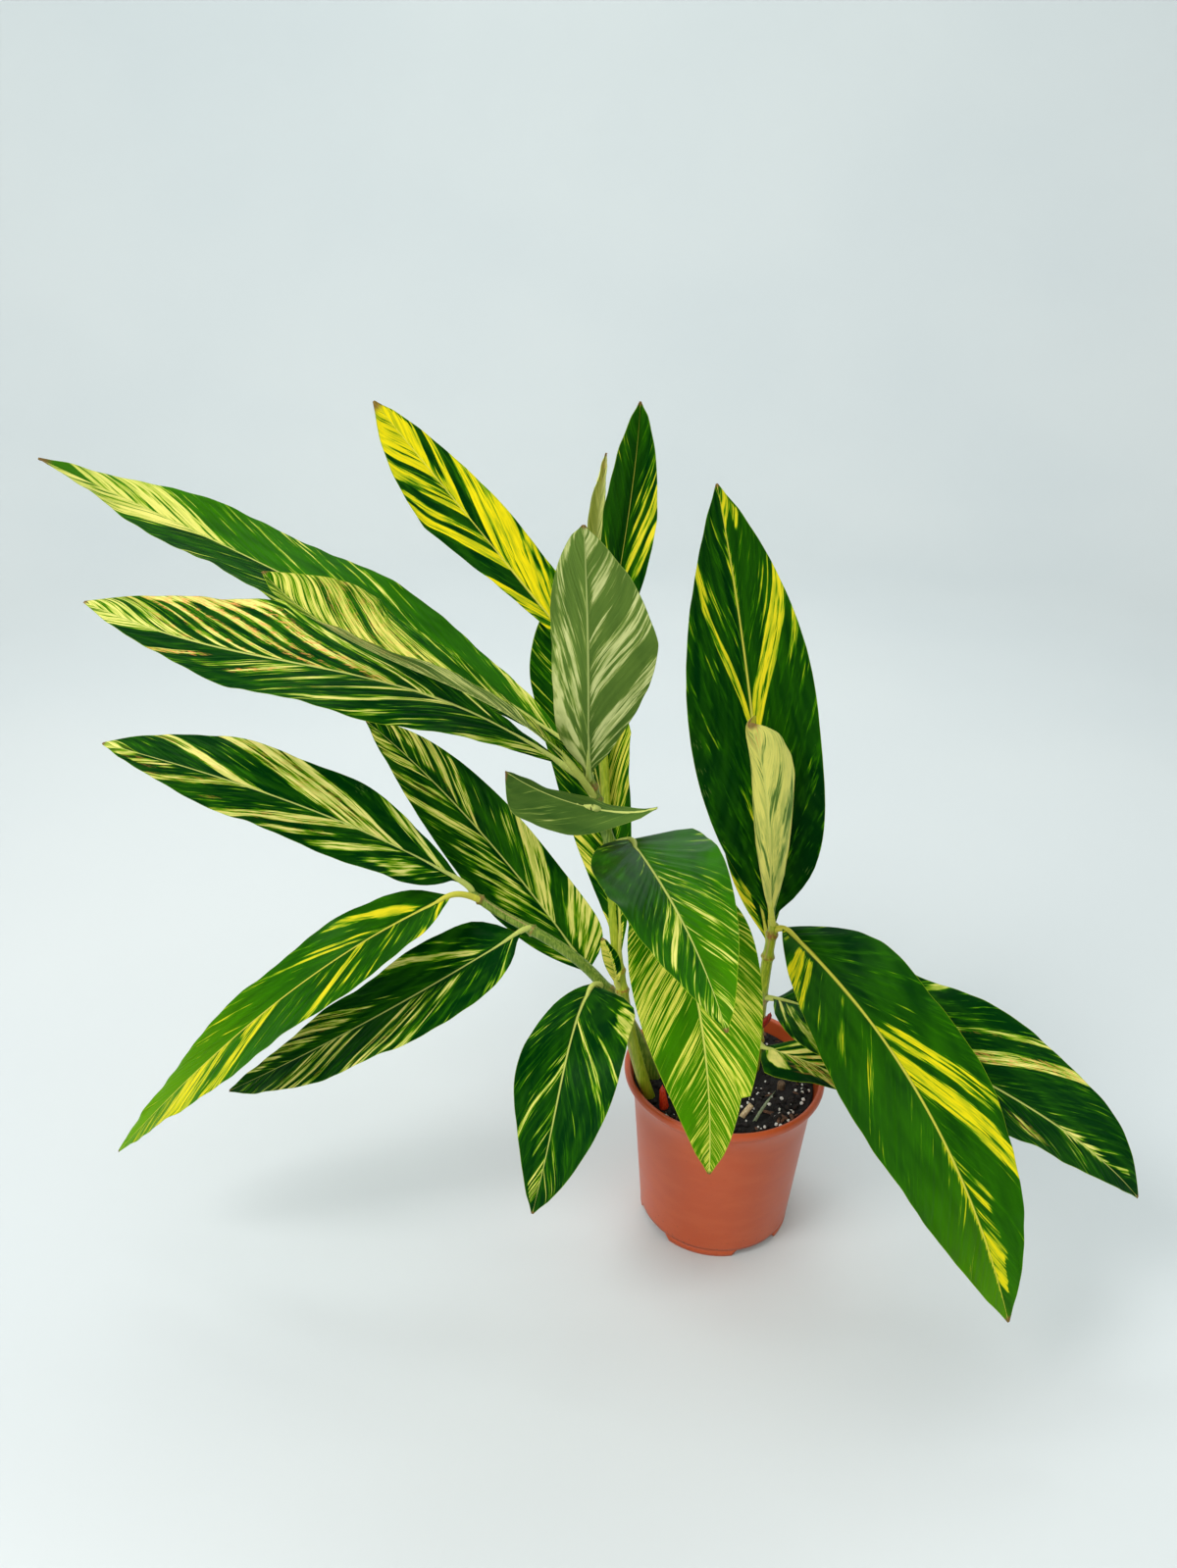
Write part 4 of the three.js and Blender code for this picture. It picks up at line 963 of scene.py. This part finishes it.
def cane_skin(cane, share, path):
    """A cane's radii, and at each point how much there is of a node's mark, a seam and grey."""
    low, high = cane["radii"]
    radii = low + (high - low) * share
    mark = 0 * share
    nodes = [share_at_height(cane["route"], height) for height in cane["nodes"]]
    for node in nodes:
        # Each node swells the cane, and above it the cane is a little thinner.
        distance = (share - node) * cane["length"]
        radii = radii + 0.8 * hump(distance, 3.2)
        radii = radii - 0.25 * smooth_step(-0.8, 0.8, distance) + 0.45 * hump(distance + 1, 1)
        reach = 3.6 if node == nodes[-1] else 1.3
        mark = np.maximum(mark, 0.8 * hump(distance - 0.6, reach))
    angle = circle(CANE_SIDES)
    flute = 1 + 0.012 * np.sin(angle * 9 + cane["seed"]) + 0.01 * np.sin(angle * 5)
    # The edge of each leaf sheath runs up its cane as a low seam that turns slowly round it.
    turn = cane["seed"] * 2 + np.searchsorted(sorted(nodes), share) * 2.6 + 1.2 * share
    to_seam = (angle - turn[:, None] + np.pi) % (2 * np.pi) - np.pi
    flute = flute + 0.05 * plateau(-0.1, 0.1, 0.1, 1.4, to_seam)
    grey = hump(path[:, 2] - GREY_HEIGHT, GREY_REACH) * cane["yellow"]
    marks = np.broadcast_arrays(mark[:, None], hump(to_seam, 0.13), grey[:, None])
    return radii[:, None] * flute, np.stack(marks, -1).reshape(-1, 3)


def make_cane(name, cane):
    share = np.linspace(0, 1, int(cane["length"] / CANE_ROW_STEP) + 1)
    path = curve_points(cane["route"], share)
    radii, marks = cane_skin(cane, share, path)
    points, faces = closed_rings(tube_rings(path, radii, CANE_SIDES))
    look = CANE_YELLOW if cane["yellow"] else CANE_GREEN
    piece = new_piece(f"cane_{name}_skin", points, faces, look, "cane", "cane_" + name)
    set_attribute(piece, "vein", np.concatenate([marks, marks[:1], marks[-1:]]))


# Shoots

SHOOT_SIDES = 24


def make_shoot(name, shoot):
    share = np.linspace(0, 1, 40)
    low, high = shoot["radii"]
    radii = low + (high - low) * share
    if not shoot.get("blunt"):
        radii = radii * (1 - 0.85 * smooth_step(0.85, 1, share))
    folds = 1 + 0.05 * np.sin(3 * circle(SHOOT_SIDES) + 2.5 * share[:, None])
    path = curve_points(shoot["route"], share)
    rings = tube_rings(path, radii[:, None] * folds, SHOOT_SIDES, shoot.get("flatten", 1))
    points, faces = closed_rings(rings)
    new_piece(name + "_skin", points, faces, streaked_material(*shoot["skin"]), shoot["slot"], name)


# Pot


def pot_outline():
    """The wall's section from the outer foot over the lip to the inner floor, rounded."""
    corners = np.array(POT_WALL, float)
    fine = []
    for a, b in zip(corners[:-1], corners[1:]):
        steps = max(int(np.linalg.norm(b - a) / POT_WALL_STEP), 3)
        fine += [a + (b - a) * k / steps for k in range(steps)]
    fine = np.array(fine + [corners[-1]])
    for _ in range(3):
        fine[1:-1] = 0.25 * fine[:-2] + 0.5 * fine[1:-1] + 0.25 * fine[2:]
    return fine


def foot_rings(centre):
    """A foot's section repeated along its arc. Its ends slant, so that it is shortest below."""
    radius, z, shorter = np.array(FOOT_SECTION, float).T
    gap = np.arcsin((FOOT_GAP_WIDTH / 2 + FOOT_SLANT * shorter) / POT_BASE_RADIUS)
    half = math.pi / FOOT_COUNT - gap
    angle = centre + half * np.linspace(-1, 1, FOOT_STEPS + 1)[:, None]
    return np.stack([radius * np.cos(angle), radius * np.sin(angle), z + 0 * angle], -1)


def drill(piece, x, y):
    """Cut a drain hole through the floor."""
    place = Vector((x, y, POT_FLOOR_Z)) * MM
    radius = DRAIN_HOLE_RADIUS * MM
    bpy.ops.mesh.primitive_cylinder_add(vertices=24, radius=radius, depth=20 * MM, location=place)
    tool = bpy.context.object
    cut = piece.modifiers.new("drain_hole", "BOOLEAN")
    cut.operation = "DIFFERENCE"
    cut.object = tool
    bpy.context.view_layer.objects.active = piece
    bpy.ops.object.modifier_apply(modifier=cut.name)
    bpy.data.objects.remove(tool)


def make_pot(look):
    section = [(POT_FLOOR_INNER, POT_FLOOR_Z), (POT_FLOOR_OUTER, POT_FLOOR_Z)]
    section += [*pot_outline(), (POT_FLOOR_INNER, POT_FLOOR_TOP)]
    points, faces = closed_rings(turned_rings(section, POT_SIDES))
    for k in range(FOOT_COUNT):
        centre = math.radians(FOOT_CENTRE_DEG + k * 360 / FOOT_COUNT)
        foot_points, foot_faces = closed_rings(foot_rings(centre), len(points))
        points = np.concatenate([points, foot_points])
        faces += foot_faces
    pot = new_piece("pot_shell", points, faces, look, "pot_plastic", "pot")
    for angle in circle(DRAIN_HOLE_COUNT):
        drill(pot, DRAIN_HOLE_RING * math.cos(angle), DRAIN_HOLE_RING * math.sin(angle))


# Soil


def pot_inner_radius(z):
    radii, heights = zip(*POT_INNER)
    return np.interp(z, heights, radii)


def soil_height(x, y):
    return SOIL_TOP_Z + 1.2 * np.sin(x / 9 + 1) * np.cos(y / 11) + 0.8 * np.sin((x + y) / 6)


def make_soil(look):
    side = [(pot_inner_radius(z) - SOIL_GAP, z) for z in (8.3, 60, 109, 118)]
    rows = [*turned_rings(side, SOIL_SIDES)]
    radius = pot_inner_radius(SOIL_TOP_Z - 2) - SOIL_GAP
    angle = circle(SOIL_SIDES)
    for share in np.linspace(1, 0.01, SOIL_RINGS):
        x, y = radius * share * np.cos(angle), radius * share * np.sin(angle)
        lumps = 0.9 * ripple(x + 1.7 * y, 9, 3) + 0.8 * ripple(y - 1.3 * x, 7, 4)
        lumps = lumps + 0.6 * ripple(x - y, 3.5, 5) - 0.4
        rows.append(np.stack([x, y, soil_height(x, y) + lumps], -1))
    points, faces = closed_rings(np.array(rows))
    new_piece("soil_bed", points, faces, look, "potting_mix", "soil")


def chunk_rings(draw, size, stretch):
    """A small irregular stone: a rough ball of 6 rings with 9 points each."""
    sides, rings = 9, 6
    points = []
    for i in range(rings):
        lat = math.pi * (i + 0.5) / rings - math.pi / 2
        for k in range(sides):
            lon = 2 * math.pi * k / sides
            direction = (math.cos(lat) * math.cos(lon), math.cos(lat) * math.sin(lon), math.sin(lat))
            points.append(size * draw.uniform(0.78, 1.12) * np.array(direction) * stretch)
    return np.array(points).reshape(rings, sides, 3)


def scatter(name, count, seed, sizes, stretch, rise, look):
    """Pieces of one kind on the soil, half sunk into it, clear of the canes and shoots."""
    draw = random.Random(seed)
    routes = [stem["route"] for stem in (*CANES.values(), *SHOOTS.values())]
    stems = [curve_points(route, share_at_height(route, SOIL_TOP_Z)) for route in routes]
    points, faces, start = [], [], 0
    while len(points) < count:
        radius = SOIL_SPREAD * math.sqrt(draw.random())
        angle = draw.uniform(0, 2 * math.pi)
        x, y = radius * math.cos(angle), radius * math.sin(angle)
        size = draw.uniform(*sizes)
        clear = min(math.hypot(x - s[0], y - s[1]) for s in stems)
        if clear < STEM_CLEARANCE + size * max(stretch):
            continue
        body = chunk_rings(draw, size, stretch)
        turn = Matrix.Rotation(draw.uniform(0, TURN), 3, "Z")
        turn = turn @ Matrix.Rotation(draw.uniform(-0.5, 0.5), 3, "X")
        body = body @ np.array(turn).T + (x, y, soil_height(x, y) + rise * size)
        body_points, body_faces = closed_rings(body, start)
        points.append(body_points)
        faces += body_faces
        start += len(body_points)
    new_piece(name, np.concatenate(points), faces, mottled_material(*look), "potting_mix", smooth=False)


for name, cane in CANES.items():
    make_cane(name, cane)
for seed, (name, leaf) in enumerate(LEAVES.items(), FIRST_LEAF_SEED):
    make_leaf(name, leaf, seed)
for name, shoot in SHOOTS.items():
    make_shoot(name, shoot)
make_pot(pot_material())
make_soil(mottled_material("soil_bed", (9, 7, 6), (25, 19, 15), 1.2, 0.95, 0.8))
for name, bits in SOIL_BITS.items():
    scatter(name, **bits)

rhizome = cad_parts["rhizome"]
rhizome.data.materials.clear()
rhizome.data.materials.append(streaked_material("rhizome_skin", (150, 110, 78), (186, 150, 112), 0.75))


# Floor, light and camera

FLOOR_FLAT = 2000
FLOOR_BEND = 1200
WALL_TOP = 3000
WORLD_COLOUR = (0.86, 0.9, 0.91, 1)
WORLD_STRENGTH = 0.58
# Place and aim in metres, size in metres, power in watts and tint
LIGHTS = {
    "key": ((-1.2, -1.1, 1.9), (0, 0, 0.25), 0.9, 26, (1, 0.985, 0.97)),
    "fill": ((1.5, -0.6, 1.1), (0, 0, 0.25), 1.2, 6, (0.9, 1, 0.97)),
    "top": ((0.1, 0.4, 2.3), (0, 0, 0.2), 1.6, 9, (1, 1, 1)),
    "front": ((-0.7, -1.6, 1.0), (-0.1, 0, 0.3), 1.4, 9, (1, 0.99, 0.98)),
    "wall": ((-0.6, 0.9, 2.5), (-0.5, 3, 1.0), 1.6, 27, (0.93, 1, 0.985)),
}
CAMERA_PLACE = (0, -0.683, 0.696)
CAMERA_YAW = math.radians(-8.9)
CAMERA_PITCH = math.radians(25.9)
CAMERA_ROLL = math.radians(1.0)
CAMERA_LENS = 26.0


def make_floor(look):
    """A round floor that curves up into a wall far from the plant on every side."""
    bend = np.linspace(0, np.pi / 2, 24)
    section = [(1, 0), (600, 0), (1200, 0), (1800, 0)]
    section += [(FLOOR_FLAT + FLOOR_BEND * math.sin(a), FLOOR_BEND * (1 - math.cos(a))) for a in bend]
    section += [(FLOOR_FLAT + FLOOR_BEND, WALL_TOP)]
    sides = 96
    rings = turned_rings(section, sides)
    faces = grid_faces(len(section), sides, closed=True)
    new_piece("floor", rings.reshape(-1, 3), faces, look)


def add_light(name, place, aim, size, power, tint):
    data = bpy.data.lights.new(name, "AREA")
    data.shape = "DISK"
    data.size = size
    data.energy = power
    data.color = tint
    light = bpy.data.objects.new(name, data)
    direction = Vector(aim) - Vector(place)
    light.rotation_euler = direction.to_track_quat("-Z", "Y").to_euler()
    light.location = place
    bpy.context.scene.collection.objects.link(light)


make_floor(floor_material())
for name, light in LIGHTS.items():
    add_light(name, *light)
world = bpy.data.worlds.new("studio")
world.use_nodes = True
world.node_tree.nodes["Background"].inputs["Color"].default_value = WORLD_COLOUR
world.node_tree.nodes["Background"].inputs["Strength"].default_value = WORLD_STRENGTH
bpy.context.scene.world = world

camera_data = bpy.data.cameras.new("camera")
camera_data.lens = CAMERA_LENS
camera_data.sensor_width = 36
camera_data.clip_start = 0.02
camera = bpy.data.objects.new("camera", camera_data)
camera.matrix_world = (
    Matrix.Translation(CAMERA_PLACE)
    @ Matrix.Rotation(-CAMERA_YAW, 4, "Z")
    @ Matrix.Rotation(math.pi / 2 - CAMERA_PITCH, 4, "X")
    @ Matrix.Rotation(CAMERA_ROLL, 4, "Z")
)
bpy.context.scene.collection.objects.link(camera)
bpy.context.scene.camera = camera
bpy.context.scene.view_settings.view_transform = "Standard"
